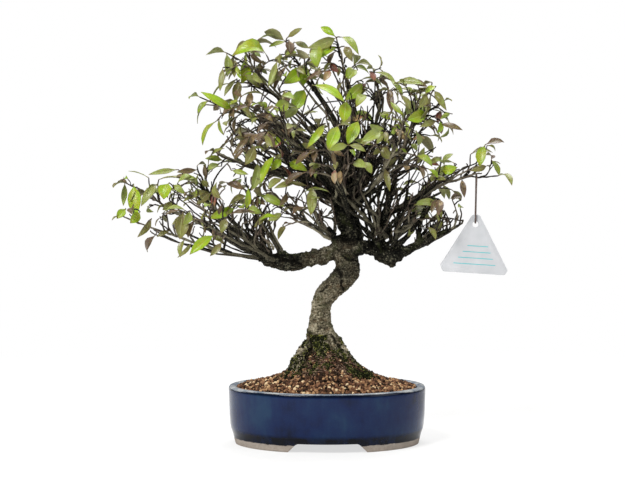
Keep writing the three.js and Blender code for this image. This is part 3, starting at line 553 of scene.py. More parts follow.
def makeFootGap(half, frontToBack):
    # a bar whose sides slope in towards its top
    reach = pot["cutterReach"]
    size = (2 * (half - pot["gapNarrowing"]), pot["cutterLength"], pot["footHeight"] + reach)
    bar = add(bpy.ops.mesh.primitive_cube_add, size=1, location=(0, 0, (pot["footHeight"] - reach) / 2 * mm))
    bar.scale = Vector(size) * mm
    settle(bar)
    for corner in bar.data.vertices:
        if corner.co.z < 0:
            corner.co.x += math.copysign(pot["gapWidening"] * mm, corner.co.x)
    with editing(bar):
        bpy.ops.mesh.select_all(action="DESELECT")
    for edge in bar.data.edges:
        first, last = [bar.data.vertices[i].co for i in edge.vertices]
        edge.select = min(first.z, last.z) > 0 and abs(first.y - last.y) > 0.1
    bpy.ops.object.mode_set(mode="EDIT")
    bpy.ops.mesh.bevel(offset=pot["gapRound"] * mm, segments=4)
    bpy.ops.object.mode_set(mode="OBJECT")
    bar.rotation_euler.z = 0 if frontToBack else math.pi / 2
    bar.location = home
    settle(bar)
    return bar


def makePot():
    body = turnOval("pot_body", pot["outside"] + pot["rim"] + pot["inside"], pot["segments"])
    for half, frontToBack in pot["footGaps"]:
        cutOut(body, makeFootGap(half, frontToBack))
    for x in pot["drains"]:
        cutOut(body, add(bpy.ops.mesh.primitive_cylinder_add, vertices=48, radius=pot["drainRadius"] * mm,
                         depth=pot["drainLength"] * mm, location=spot(x, 0, pot["drainHeight"])))
    bevelEdges(body, 0.6, 38)
    marks = []
    for corner in body.data.vertices:
        x, y, z = local(corner.co)
        inset = (1 - math.hypot(x / pot["halfLength"], y / pot["halfDepth"])) * pot["halfDepth"]
        # towards the ends of the oval the pale lip grows wider and stronger, as a painted highlight
        ends = clamp((abs(x) - pot["lipHighlightFrom"]) / 26)
        lip = clamp((z - pot["lipBottom"] + ends) / 1.2) * clamp((pot["lipWidth"] - inset) / 1.5)
        edge = clamp((z - pot["bareInside"]) / 3) * clamp((inset - pot["wall"] - 0.2) / 1.4)
        inner = inset > pot["wall"]
        under = z < -1.4 or (z < 20 and inner) or (inner and z < pot["bareInside"])
        marks.append((lip * lerp(0.9, 1, ends), edge, under))
        if z > pot["swayBottom"] and inset < 6:
            outward = Vector((x, y, 0)).normalized()
            sway = noise.noise(Vector((x, y, z * 0.6)) * 0.022) * pot["sway"]
            corner.co += outward * sway * mm * clamp((z - pot["swayBottom"]) / 10)
    lips, edges, unders = np.array(marks, float).T
    keepValues(body.data, lip=lips, edge=edges, under=unders)
    finishPiece(body, makeGlaze(), ["pot"], 38)


makePot()


# The soil: a bed and the grains that lie on it

soil = {
    "edgeHeight": 51,
    "crownHeight": 64,
    "moundHeight": 30,
    "moundRadius": 33,
    "moundY": -4,
    "lip": 9.3,
    "relief": 1.2,
    "bedBelow": 1.8,  # the bed lies this far under the grains
    "spacing": 2.3,
    "clearOfTrunk": 12,
    "largeShare": 0.035,
    "largeGrain": (3.0, 4.1),
    "smallGrain": (1.6, 2.8),
    "tone": (0.44, 0.28),  # its middle and its spread
    "darkMound": 46,  # the radius within which the grains are darker
}


def soilHeight(x, y):
    toEdge = min(1, math.hypot(x / pot["halfLength"], y / pot["halfDepth"]))
    toTrunk = math.hypot(x, y - soil["moundY"]) / soil["moundRadius"]
    crown = (soil["crownHeight"] - soil["edgeHeight"]) * (1 - toEdge ** 2.2)
    return soil["edgeHeight"] + crown + soil["moundHeight"] * math.exp(-toTrunk ** 2)


def soilTop(x, y):
    return soilHeight(x, y) + soil["relief"] * noise.noise(Vector((x, y, 3)) * 0.16)


def makeSoilBed():
    flat = 50
    profile = [[14.3, 15.3], [8.8, 20.3], [7.3, 41], [9.3, 48.5], [9.5, flat]]
    profile += [[inset, flat] for inset in (12, 16, 20, 25, 30, 35, 40, 45, 50, 55, 60, 65, 69, 72)]
    bed = turnOval("soil_bed", profile, 96)
    for corner in bed.data.vertices:
        x, y, z = local(corner.co)
        if z > flat - 0.1:
            corner.co.z = spot(0, 0, soilTop(x, y) - soil["bedBelow"]).z
    finishPiece(bed, grit, ["soil"], 60)


def takeShape(piece):
    # the corners and faces of a shape that is to be copied, which is then removed
    corners = np.array([corner.co for corner in piece.data.vertices])
    faces = np.array([list(face.vertices) for face in piece.data.polygons])
    bpy.data.objects.remove(piece)
    return corners, faces


def makeGrain(seed, flatten):
    # a cube rounded and knocked about
    grain = add(bpy.ops.mesh.primitive_cube_add, size=1)
    with editing(grain):
        bpy.ops.mesh.subdivide(number_cuts=1, smoothness=1)
        bpy.ops.transform.vertex_random(offset=0.12, seed=seed)
        bpy.ops.transform.resize(value=(1, 0.85, flatten), center_override=(0, 0, 0))
    return takeShape(grain)


def meshFrom(name, corners, faces, **values):
    mesh = bpy.data.meshes.new(name)
    mesh.from_pydata(corners.tolist(), [], faces.tolist())
    keepValues(mesh, **values)
    piece = bpy.data.objects.new(name, mesh)
    bpy.context.scene.collection.objects.link(piece)
    return piece


def turnedAnyway(chance):
    return Euler([chance.uniform(0, 2 * math.pi) for _ in range(3)]).to_matrix().to_4x4()


def placed(point, turn, size, shape=(1, 1, 1)):
    return Matrix.Translation(point) @ turn @ Matrix.Diagonal((*[size * mm * share for share in shape], 1))


def copyMany(name, shapes, copies):
    # one mesh of many copies, each given by its matrix, the number of its shape, and its tone
    corners, faces, tones, count = [], [], [], 0
    for matrix, shape, tone in copies:
        shapeCorners, shapeFaces = shapes[shape]
        corners.append(shapeCorners @ np.array(matrix.to_3x3()).T + np.array(matrix.translation))
        faces.append(shapeFaces + count)
        tones.append(np.full(len(shapeCorners), clamp(tone)))
        count += len(shapeCorners)
    return meshFrom(name, np.vstack(corners), np.vstack(faces), tone=np.concatenate(tones))


def scatterOnSoil(chance, spacing, edge):
    # points in loose rows over the oval
    a, b = pot["halfLength"] - edge, pot["halfDepth"] - edge
    row = 0
    y = -b
    while y < b:
        x = -a + (row % 2) * spacing / 2
        while x < a:
            px = x + chance.uniform(-0.42, 0.42) * spacing
            py = y + chance.uniform(-0.42, 0.42) * spacing
            if math.hypot(px / a, py / b) < 1:
                yield px, py
            x += spacing
        y += spacing * 0.866
        row += 1


def makeGrains():
    chance = random.Random(11)
    shapes = [makeGrain(seed, flatten) for seed, flatten in ((1, 0.7), (2, 0.9), (3, 0.6), (4, 0.8))]
    copies = []
    for x, y in scatterOnSoil(chance, soil["spacing"], soil["lip"] + 0.6):
        large = chance.random() < soil["largeShare"]
        size = chance.uniform(*soil["largeGrain"] if large else soil["smallGrain"])
        if math.hypot(x + 4, y) < soil["clearOfTrunk"]:
            continue
        z = soilTop(x, y) + (chance.uniform(-1.5, 0.1) - size * 0.12)
        shade = 0.2 * clamp((soil["darkMound"] - math.hypot(x, y)) / 16)
        copies.append((placed(spot(x, y, z), turnedAnyway(chance), size), chance.randrange(len(shapes)),
                       chance.gauss(*soil["tone"]) + (0.26 if chance.random() < 0.06 else 0) - shade))
    finishPiece(copyMany("soil_grains", shapes, copies), grit, (), 50)


grit = makeGrit()
makeSoilBed()
makeGrains()


# The wood, as lines of [x, y, z, radius] points

trunkLine = [
    [-2, 0, 44, 18], [-2, 0, 58, 22], [-3, 0, 70, 20.5], [-5, 0, 84, 18], [-6, 0, 94, 15.6],
    [-6.5, 0, 102, 14.4], [-7, 0, 109, 13.6], [-7.2, 0, 117, 11.4], [-6.6, 0, 128, 10.2], [-4, 0, 139, 10.2],
    [1.5, -1, 148, 11], [10.5, -2, 156.5, 11.8], [18.5, -2, 166, 12.6], [20.5, -2, 177, 12.2],
    [16.5, -1, 189, 11], [26, 2, 204, 10.5], [18, 1, 224, 12], [17, 2, 242, 9], [20, 4, 259, 5.6],
    [23, 5, 279, 4], [23, 5, 298, 3],
]
limbLines = [
    [[16, -2, 191, 9], [-4, -3, 185, 7.4], [-16, -5, 182, 7.4], [-30, -7, 178.5, 8.8], [-42, -8, 178, 9],
     [-56, -9, 180.5, 6.6], [-70, -10, 185, 4.4]],
    [[20, 0, 193, 8.5], [39, -3, 193, 7.4], [52, -6, 190, 8], [62, -8, 183.5, 9], [73, -9, 188, 5.6]],
    [[50, -5, 192, 5.6], [56, -4, 208, 4.6], [58, -2, 224, 4], [62, 0, 240, 3.5], [66, 2, 254, 3]],
]
rootLines = [
    [[-12, -6, 100, 8.5], [-21, -10, 91, 7.5], [-28, -13, 80, 6.6], [-32, -16, 66, 5.5], [-36, -19, 52, 3]],
    [[7, -5, 99, 7.5], [13, -8, 90, 7], [21, -12, 80, 6], [30, -16, 69, 4.6], [38, -20, 56, 2.6]],
    [[-7, 9, 95, 8.5], [-15, 19, 83, 7], [-22, 30, 68, 5], [-28, 40, 52, 2.6]],
    [[4, 9, 95, 8.5], [13, 19, 83, 7], [20, 30, 68, 5], [26, 40, 52, 2.6]],
    [[-4, -10, 93, 7.5], [-5, -20, 80, 6], [-7, -30, 67, 4.4], [-9, -38, 54, 2.6]],
]
# the fold in the bend, the shoulders of the flare, pruned stubs on the limbs, and the low right limb
branchLines = [
    [[11, -4, 191, 8], [17, -6, 180, 9.6], [20, -6, 169, 9.6], [15, -5, 157, 7]],
    [[-12, -4, 112, 4], [-14, -5, 106, 5.6], [-16, -6, 98, 5.4], [-22, -9, 88, 4]],
    [[2, -5, 112, 3.6], [5, -6, 106, 5.2], [8, -7, 98, 5]],
    [[12, -8, 190, 6.4], [9, -10, 198, 5], [5, -12, 206, 3.6], [1, -13, 214, 2.2]],
    [[52, -12, 194, 3.2], [46, -18, 201, 2.2], [41, -22, 210, 1.5]],
    [[-44, -10, 182, 6.5], [-45, -12, 187, 5.8], [-45, -13, 190, 3.5]],
    [[64, -8, 184, 5.6], [76, -10, 188, 5], [88, -12, 195, 4.8], [101, -13, 201, 4.4], [112, -13, 206, 3.2],
     [121, -12, 211, 2]],
    [[90, -12, 196, 3.4], [91, -15, 206, 2.4], [92, -17, 216, 2], [96, -18, 232, 1.6]],
]
# ridges down the flare
flareLines = [
    [[-14, -10, 100, 4.4], [-20, -15, 92, 4.6], [-24, -19, 83, 4.4], [-27, -22, 74, 3.8],
     [-30, -26, 64, 2.6]],
    [[-20, -4, 92, 4], [-29, -6, 82, 4.8], [-34, -8, 73, 4.4], [-38, -10, 62, 3]],
    [[6, -11, 96, 3.8], [12, -16, 88, 3.8], [17, -20, 80, 3.4], [23, -24, 70, 2.4]],
    [[10, -4, 94, 4.2], [18, -6, 86, 4.2], [27, -8, 77, 3.6], [36, -10, 66, 2.4]],
    [[4, 12, 96, 4.4], [8, 20, 86, 4.6], [12, 29, 74, 4], [16, 38, 60, 2.6]],
    [[-10, 12, 94, 4.4], [-16, 20, 84, 4.6], [-20, 29, 72, 4], [-24, 38, 60, 2.6]],
]
# folds in the bark that show from the front, as [x, z] points, with how deep and how wide each is
creases = [
    ([[7, 172], [12, 169], [14, 162], [15, 154], [19, 147]], 2.8, 2.1),
    ([[14, 186], [22, 181], [29, 180]], 1.6, 1.5),
    ([[-18, 104], [-14, 97], [-18, 88], [-23, 77], [-26, 68]], 3.0, 2.2),
    ([[-21, 108], [-15, 104], [-9, 105]], 1.6, 1.8),
    ([[5, 104], [11, 97], [17, 88], [26, 76]], 2.0, 1.9),
    ([[-7, 149], [-3, 151], [0, 155]], 0.9, 1.2),
    ([[-56, 188], [-46, 181], [-36, 180], [-26, 176]], 1.8, 1.8),
    ([[-38, 188], [-33, 182], [-34, 174]], 1.5, 1.5),
    ([[42, 196], [50, 191], [58, 190]], 1.6, 1.6),
]
trunk = {
    "flutes": 5,
    "fluteDepth": 0.14,
    "fluteTop": 126,
    "voxel": 0.95,
    "knots": 90,
    "relief": [  # the size and depth of each layer
        (7, 3.2, "CLOUDS", {"noise_depth": 2}),
        (2.4, 1.5, "CLOUDS", {"noise_depth": 3, "noise_type": "HARD_NOISE"}),
        (1.1, 0.4, "VORONOI", {}),
    ],
}


def smoothLine(points, parts):
    # a smooth curve through rows of numbers, with some parts between each two
    rows = np.array(points, float)
    rows = np.vstack([2 * rows[0] - rows[1], rows, 2 * rows[-1] - rows[-2]])
    t = np.linspace(0, 1, parts, endpoint=False)[:, None]
    spans = []
    for a, b, c, d in zip(rows, rows[1:], rows[2:], rows[3:]):
        bend = (2 * a - 5 * b + 4 * c - d) * t ** 2 + (3 * b - a - 3 * c + d) * t ** 3
        spans.append(b + 0.5 * ((c - a) * t + bend))
    return np.vstack([*spans, rows[-2:-1]])


def drawTubes(name, lines, roundness, closed=False):
    # a curve with a spline and a radius for each line, made a mesh; each ring has 2 * roundness + 4 corners
    curve = bpy.data.curves.new(name, "CURVE")
    curve.dimensions = "3D"
    curve.bevel_depth = mm
    curve.bevel_resolution = roundness
    curve.resolution_u = 3
    curve.use_fill_caps = not closed
    for line in lines:
        spline = curve.splines.new("NURBS" if closed else "POLY")
        spline.points.add(len(line) - 1)
        spline.use_cyclic_u = closed
        for point, (x, y, z, radius) in zip(spline.points, line):
            point.co = (*spot(x, y, z), 1)
            point.radius = radius
    piece = bpy.data.objects.new(name, curve)
    bpy.context.scene.collection.objects.link(piece)
    pick(piece)
    bpy.ops.object.convert(target="MESH")
    return bpy.context.object


def creaseBark(wood):
    # presses the folds into the front of the wood, and keeps their depth for the painted shade in the bark's
    # colour
    count = len(wood.data.vertices)
    corners, normals = np.empty(count * 3), np.empty(count * 3)
    wood.data.vertices.foreach_get("co", corners)
    wood.data.vertices.foreach_get("normal", normals)
    corners, normals = corners.reshape(-1, 3), normals.reshape(-1, 3)
    places = (corners - np.array(home)) / mm
    front = np.clip(-normals[:, 1] * 2 + 0.4, 0, 1)
    fold = np.zeros(count)
    ragged = np.array([noise.noise(Vector(place) * 0.35) for place in places])
    for points, depth, width in creases:
        line = smoothLine(points, 8)
        away = ((places[:, None, ::2] - line) ** 2).sum(axis=2).min(axis=1)
        near = np.exp(-away / (width * (1.1 + ragged * 0.9)) ** 2) * front * np.clip(1 + ragged, 0.5, 1)
        corners -= normals * (near * depth * mm)[:, None]
        fold = np.maximum(fold, near)
    wood.data.vertices.foreach_set("co", corners.ravel())
    keepValues(wood.data, fold=fold)


def makeTrunk():
    chance = random.Random(5)
    stem = drawTubes("stem", [smoothLine(trunkLine, 6)], 10)
    for corner in stem.data.vertices:
        x, y, z = local(corner.co)
        flare = clamp((trunk["fluteTop"] - z) / 40)
        if flare > 0 and z > 40:
            angle = math.atan2(-(x + 5), -y)
            flute = flare * trunk["fluteDepth"] * math.cos(trunk["flutes"] * angle + 0.9)
            corner.co += Vector((x + 5, y, 0)) * flute * mm
    limbs = drawTubes("limbs", [smoothLine(line, 6) for line in limbLines + rootLines], 6)
    branches = drawTubes("branches", [smoothLine(line, 5) for line in branchLines + flareLines], 4)
    knots = []
    carriers = [smoothLine(line, 4) for line in [trunkLine[13:17]] + limbLines + limbLines]
    for _ in range(trunk["knots"]):
        line = chance.choice(carriers)
        x, y, z, radius = line[chance.randrange(1, len(line))]
        side = stray(chance, 1).normalized()
        size = chance.uniform(0.22, 0.48) * radius + 0.8
        middle = Vector((x, y, z)) + side * (radius - size * 0.25)
        knots.append(add(bpy.ops.mesh.primitive_ico_sphere_add, subdivisions=2, radius=size * mm,
                         location=spot(*middle)))
    wood = pick(stem, limbs, branches, *knots)
    bpy.ops.object.join()
    wood.name = wood.data.name = "trunk_wood"
    settle(wood)
    addModifier(wood, "REMESH", mode="VOXEL", voxel_size=trunk["voxel"] * mm)
    addModifier(wood, "SMOOTH", factor=0.5, iterations=3)
    for size, depth, kind, settings in trunk["relief"]:
        texture = bpy.data.textures.new("bark" + kind.title(), kind)
        texture.noise_scale = size * mm
        for setting, value in settings.items():
            setattr(texture, setting, value)
        addModifier(wood, "DISPLACE", texture=texture, strength=depth * mm, mid_level=0.5,
                    texture_coords="LOCAL")
    creaseBark(wood)
    finishPiece(wood, makeBark(), ["trunk"], 60)
    return wood


trunkWood = makeTrunk()


# The leafy sprays: for each its spine of [x, y, z, radius] points, the tips that its twigs reach, and
# the leaves that show from the front as [base x, base z, tip x, tip z, width, arch, colour]
sprays = {
    "left_low": {
        "spine": [
            [-64, -11, 182, 2.5], [-95, -22, 187, 2], [-119, -28, 195, 1.7], [-147, -32, 204, 1.4],
            [-177, -36, 215, 1], [-199, -38, 224, 0.9],
        ],
        "tips": [[-186, -52, 232], [-158, -46, 228], [-132, -50, 214], [-110, -40, 210], [-168, -20, 206]],
        "leaves": [
            [-139, 202, -144, 185, 6, 0.1, "olive"], [-171, 222, -184, 204, 6, 0.2, "olive"],
            [-196, 232, -204, 222, 8, 0.1, "lime"], [-180, 229, -189, 218, 9, 0.1, "lime"],
            [-134, 198, -146, 184, 4, 0.2, "olive"], [-154, 210, -166, 204, 5, 0.15, "olive"],
        ],
    },
    "left_mid": {
        "spine": [
            [-64, -6, 184, 2.7], [-90, -2, 194, 2.3], [-108, 2, 206, 2], [-127, 4, 217, 1.8],
            [-144, 5, 223, 1.5], [-161, 6, 233, 1.2], [-178, 8, 244, 0.9],
        ],
        "tips": [
            [-201, 0, 257], [-167, -8, 261], [-179, 4, 263], [-151, -6, 251], [-150, 26, 246],
            [-180, 20, 235],
        ],
        "leaves": [
            [-193, 256, -190, 223, 13, 0.08, "lime"], [-170, 257, -184, 234, 9, 0.2, "pale"],
            [-201, 256, -202, 234, 6, 0.05, "pale"], [-156, 241, -164, 230, 7, 0.1, "olive"],
        ],
    },
    "left_high": {
        "spine": [
            [-54, -10, 184, 2.7], [-77, -17, 202, 2.4], [-96, -18, 213, 2], [-108, -20, 228, 1.7],
            [-116, -21, 243, 1.3], [-124, -22, 256, 0.9],
        ],
        "tips": [
            [-151, -24, 251], [-128, -14, 273], [-117, -28, 274], [-98, -24, 275], [-100, -34, 250],
            [-140, -16, 262], [-133, -30, 246],
        ],
        "leaves": [
            [-155, 257, -160, 241, 14, 0.1, "lime"], [-147, 270, -175, 264, 6, 0.12, "pale"],
            [-130, 270, -148, 267, 6, 0.1, "bronze"], [-147, 256, -129, 262, 8, 0.2, "green"],
            [-114, 251, -141, 239, 6, 0.1, "olive"], [-117, 268, -106, 275, 6, 0.1, "green"],
            [-151, 255, -139, 246, 6, 0.2, "pale"], [-114, 248, -111, 234, 6, 0.05, "red"],
            [-94, 269, -77, 265, 5, 0.1, "green"], [-120, 262, -120, 275, 4, 0.05, "bronze"],
            [-113, 247, -128, 236, 8, 0.15, "olive"], [-116, 253, -124, 259, 6, 0.1, "olive"],
        ],
    },
    "left_inner": {
        "spine": [
            [-45, -11, 183, 2.9], [-54, -17, 200, 2.4], [-64, -20, 216, 1.9], [-72, -20, 232, 1.5],
            [-80, -20, 248, 1],
        ],
        "tips": [
            [-90, -14, 258], [-62, -26, 247], [-52, -14, 240], [-66, -8, 262], [-44, -20, 226],
            [-86, -30, 236],
        ],
        "leaves": [
            [-89, 232, -115, 222, 9, 0.12, "lime"], [-80, 230, -77, 252, 6, 0.05, "lime"],
            [-67, 244, -42, 234, 8, 0.15, "green"], [-79, 230, -64, 227, 8, 0.3, "green"],
            [-80, 243, -96, 236, 6, 0.2, "olive"], [-60, 224, -72, 213, 5, 0.2, "olive"],
        ],
    },
    "left_back": {
        "spine": [
            [-54, -5, 182, 2.7], [-73, 19, 197, 2.3], [-94, 38, 211, 1.9], [-120, 52, 225, 1.4],
            [-142, 62, 238, 0.9],
        ],
        "tips": [
            [-160, 58, 250], [-128, 70, 248], [-112, 56, 254], [-88, 44, 250], [-140, 44, 256],
            [-70, 48, 228], [-96, 62, 236],
        ],
        "leaves": [],
    },
    "left_front": {
        "spine": [
            [-52, -13, 180, 2.5], [-68, -36, 190, 2.1], [-88, -54, 200, 1.7], [-108, -66, 212, 1.3],
            [-124, -74, 222, 0.9],
        ],
        "tips": [
            [-140, -70, 232], [-94, -74, 226], [-80, -64, 232], [-100, -58, 240], [-66, -58, 220],
            [-112, -80, 234],
        ],
        "leaves": [
            [-140, 228, -140, 203, 14, 0.08, "olive"], [-108, 207, -131, 188, 10, 0.12, "lime"],
            [-101, 200, -112, 187, 6, 0.1, "olive"], [-98, 225, -101, 209, 8, 0.1, "olive"],
            [-131, 230, -137, 217, 8, 0.15, "green"],
        ],
    },
    "middle": {
        "spine": [
            [14, -6, 200, 2.2], [-4, -18, 210, 1.9], [-18, -24, 218, 1.6], [-32, -30, 228, 1.3],
            [-46, -34, 240, 0.9],
        ],
        "tips": [
            [-56, -30, 228], [-62, -40, 258], [-40, -42, 256], [-24, -40, 248], [-20, -48, 232],
            [-8, -44, 240], [-40, -34, 216],
        ],
        "leaves": [
            [-15, 254, -16, 226, 10, 0.05, "olive"], [-43, 261, -57, 250, 9, 0.1, "olive"],
            [-29, 258, -51, 252, 6, 0.1, "olive"], [-44, 228, -58, 220, 6, 0.1, "pale"],
            [-20, 254, -37, 257, 4, 0.1, "olive"],
        ],
    },
    "crown_left_low": {
        "spine": [
            [18, -2, 246, 2.9], [-8, -12, 257, 2.5], [-34, -18, 264, 2.2], [-62, -22, 271, 1.9],
            [-86, -25, 277, 1.7], [-110, -28, 287, 1.2],
        ],
        "tips": [
            [-92, -20, 300], [-78, -34, 296], [-86, -12, 262], [-60, -36, 288], [-64, -10, 256],
            [-36, -38, 284], [-104, -16, 274],
        ],
        "leaves": [
            [-68, 280, -74, 249, 10, 0.08, "pale"], [-68, 292, -79, 274, 10, 0.1, "olive"],
            [-50, 284, -64, 256, 10, 0.1, "lime"], [-40, 277, -20, 269, 10, 0.3, "lime"],
            [-100, 277, -119, 281, 6, 0.1, "green"], [-49, 291, -44, 281, 7, 0.1, "red"],
            [-75, 302, -92, 284, 5, 0.15, "bronze"], [-44, 280, -55, 269, 8, 0.1, "lime"],
            [-9, 287, -31, 292, 6, 0.15, "olive"], [-44, 272, -38, 262, 8, 0.1, "red"],
            [-12, 284, -22, 279, 5, 0.1, "red"],
        ],
    },
    "crown_left_mid": {
        "spine": [
            [18, 2, 262, 2.9], [2, -4, 284, 2.5], [-20, -8, 302, 2], [-48, -12, 312, 1.7],
            [-70, -14, 320, 1.4], [-92, -15, 328, 1.1], [-125, -17, 342, 0.9],
        ],
        "tips": [
            [-108, -26, 318], [-96, -6, 300], [-84, -20, 343], [-62, -28, 332], [-76, 2, 306],
            [-44, -30, 330], [-104, -4, 338],
        ],
        "leaves": [
            [-92, 329, -123, 346, 8, 0.2, "lime"], [-84, 334, -103, 324, 13, 0.1, "olive"],
            [-48, 311, -35, 297, 8, 0.1, "bronze"], [-37, 336, -52, 328, 12, 0.1, "green"],
            [-83, 330, -70, 316, 9, 0.1, "olive"], [-50, 318, -69, 324, 6, 0.2, "bronze"],
            [-46, 303, -68, 302, 7, 0.2, "olive"], [-65, 320, -55, 308, 8, 0.1, "bronze"],
            [-42, 302, -52, 292, 9, 0.1, "red"], [-120, 337, -128, 326, 6, 0.1, "green"],
            [-109, 335, -112, 328, 6, 0.1, "bronze"], [-27, 330, -44, 319, 8, 0.1, "pale"],
            [-58, 304, -70, 292, 8, 0.1, "bronze"], [-76, 311, -88, 291, 6, 0.15, "bronze"],
            [-42, 304, -51, 294, 10, 0.1, "lime"],
        ],
    },
    "crown_left_high": {
        "spine": [
            [21, 9, 268, 2.8], [3, 15, 292, 2.4], [-18, 10, 319, 2], [-42, 5, 336, 1.7], [-62, 3, 352, 1.4],
            [-72, 1, 370, 1.2], [-100, -2, 386, 0.9],
        ],
        "tips": [
            [-68, -6, 399], [-57, -10, 376], [-78, 10, 392], [-96, 8, 356], [-84, -14, 352], [-92, -8, 368],
            [-40, -8, 362],
        ],
        "leaves": [
            [-60, 383, -93, 382, 15, 0.36, "lime"], [-99, 384, -99, 362, 9, 0.06, "green"],
            [-81, 380, -84, 356, 13, 0.06, "lime"], [-103, 371, -106, 348, 6, 0.08, "olive"],
            [-90, 361, -102, 343, 6, 0.1, "olive"], [-87, 360, -91, 337, 9, 0.08, "olive"],
            [-66, 352, -81, 364, 9, 0.1, "olive"], [-49, 378, -58, 350, 6, 0.1, "pale"],
            [-36, 348, -47, 337, 9, 0.1, "bronze"], [-93, 380, -92, 362, 7, 0.06, "olive"],
            [-78, 398, -91, 388, 6, 0.2, "olive"], [-48, 370, -55, 352, 6, 0.1, "olive"],
            [-75, 348, -79, 330, 7, 0.1, "tan"], [-66, 338, -60, 329, 7, 0.1, "lime"],
            [-66, 336, -73, 326, 6, 0.1, "bronze"],
        ],
    },
    "crown_top_left": {
        "spine": [
            [22, 7, 286, 2.6], [12, 11, 312, 2.2], [-4, 12, 336, 1.8], [-18, 12, 358, 1.4],
            [-30, 11, 378, 1.1], [-41, 10, 399, 0.9],
        ],
        "tips": [
            [-47, 2, 384], [-50, 20, 372], [-14, 22, 386], [-34, 24, 394], [-22, 0, 380], [-8, 4, 362],
        ],
        "leaves": [
            [-22, 372, -43, 356, 13, 0.1, "lime"], [-21, 376, -24, 354, 12, 0.08, "lime"],
            [-22, 352, -35, 327, 14, 0.08, "lime"], [-40, 402, -25, 411, 6, 0.05, "olive"],
            [-42, 397, -58, 392, 6, 0.1, "green"], [-37, 374, -54, 349, 6, 0.1, "bronze"],
            [-38, 400, -37, 385, 9, 0.1, "bronze"], [-43, 384, -30, 387, 7, 0.1, "green"],
            [-33, 399, -18, 392, 6, 0.1, "olive"], [-7, 374, -12, 362, 7, 0.1, "olive"],
            [3, 372, -3, 360, 7, 0.1, "tan"],
        ],
    },
    "crown_top": {
        "spine": [
            [25, 3, 296, 2.4], [26, 1, 322, 2], [21, -2, 342, 1.7], [18, -4, 360, 1.4], [14, -6, 380, 1.1],
            [9, -7, 401, 0.9],
        ],
        "tips": [[2, -16, 368], [34, -2, 358], [26, 6, 386], [28, -14, 374], [-4, -14, 392]],
        "leaves": [
            [-9, 394, -11, 370, 14, 0.08, "green"], [7, 401, -20, 389, 10, 0.22, "olive"],
            [11, 390, -17, 374, 9, 0.25, "lime"], [13, 401, 31, 382, 7, 0.25, "pale"],
            [17, 392, 25, 376, 8, 0.3, "olive"], [36, 357, 18, 339, 11, 0.06, "lime"],
            [30, 368, 20, 358, 9, 0.15, "green"], [1, 398, -5, 389, 6, 0.1, "bronze"],
            [9, 386, 2, 373, 8, 0.1, "bronze"], [4, 378, 11, 366, 6, 0.1, "red"],
        ],
    },
    "crown_right_high": {
        "spine": [
            [26, 4, 268, 2.7], [38, 2, 290, 2.3], [46, 0, 308, 2], [51, -2, 326, 1.6], [52, -4, 344, 1.2],
            [46, -5, 367, 0.9],
        ],
        "tips": [
            [71, -2, 350], [36, -14, 344], [60, 8, 366], [32, -10, 324], [62, -12, 358], [42, 10, 352],
        ],
        "leaves": [
            [49, 367, 69, 354, 6, 0.1, "pale"], [61, 352, 64, 327, 7, 0.06, "bronze"],
            [40, 316, 62, 296, 11, 0.12, "green"], [54, 328, 63, 320, 7, 0.1, "green"],
            [42, 367, 47, 357, 6, 0.1, "red"], [40, 357, 33, 349, 6, 0.1, "red"],
            [41, 352, 34, 344, 6, 0.1, "olive"], [34, 322, 24, 318, 6, 0.1, "tan"],
        ],
    },
    "crown_right_mid": {
        "spine": [
            [65, 2, 248, 2.6], [70, -2, 272, 2.2], [76, -5, 292, 1.9], [84, -7, 312, 1.6],
            [98, -9, 326, 1.2], [116, -10, 339, 0.9],
        ],
        "tips": [
            [78, -16, 352], [110, -22, 314], [105, -2, 304], [88, 6, 336], [120, 2, 322], [98, -18, 346],
            [70, -22, 322],
        ],
        "leaves": [
            [99, 328, 79, 319, 12, 0.1, "lime"], [66, 355, 95, 352, 8, 0.08, "olive"],
            [72, 344, 82, 329, 6, 0.1, "olive"], [97, 345, 89, 330, 8, 0.1, "olive"],
            [105, 348, 116, 328, 7, 0.22, "olive"], [108, 315, 91, 312, 6, 0.12, "olive"],
            [110, 314, 132, 309, 6, 0.1, "bronze"], [107, 352, 96, 345, 7, 0.1, "lime"],
            [74, 316, 63, 306, 9, 0.1, "lime"], [61, 337, 74, 322, 5, 0.1, "green"],
            [80, 357, 98, 351, 6, 0.05, "bronze"], [114, 330, 110, 316, 6, 0.05, "red"],
            [110, 313, 112, 305, 5, 0.05, "bronze"], [84, 299, 97, 301, 5, 0.15, "tan"],
            [83, 296, 89, 289, 6, 0.1, "pale"], [66, 310, 76, 299, 7, 0.1, "tan"],
            [74, 307, 70, 297, 5, 0.1, "bronze"], [63, 296, 69, 284, 6, 0.1, "pale"],
        ],
    },
    "right_arm": {
        "spine": [
            [58, -2, 224, 2.9], [77, -12, 233, 2.5], [92, -15, 241, 2.2], [106, -17, 251, 1.9],
            [120, -18, 258, 1.6], [137, -18, 262, 1.3], [154, -18, 263, 1], [169, -18, 264, 0.9],
        ],
        "tips": [
            [155, -24, 294], [142, -12, 284], [115, -28, 274], [126, -8, 276], [94, -6, 268],
            [110, -34, 240], [162, -10, 280], [100, -30, 262],
        ],
        "leaves": [
            [89, 275, 96, 292, 6, 0.06, "olive"], [155, 294, 149, 273, 10, 0.08, "green"],
            [158, 274, 141, 269, 6, 0.1, "olive"], [112, 268, 127, 272, 9, 0.3, "lime"],
            [162, 278, 170, 264, 6, 0.06, "green"], [104, 262, 117, 260, 6, 0.1, "olive"],
            [133, 259, 135, 243, 6, 0.1, "bronze"], [97, 280, 111, 274, 5, 0.3, "red"],
            [77, 278, 80, 267, 6, 0.1, "tan"],
        ],
    },
    "right_low": {
        "spine": [
            [66, -9, 184, 5], [80, -10, 190, 4.2], [91, -12, 195, 4], [102, -13, 199, 3.5],
            [112, -13, 204, 2.7], [123, -12, 211, 1.9], [134, -11, 217, 1.1],
        ],
        "tips": [
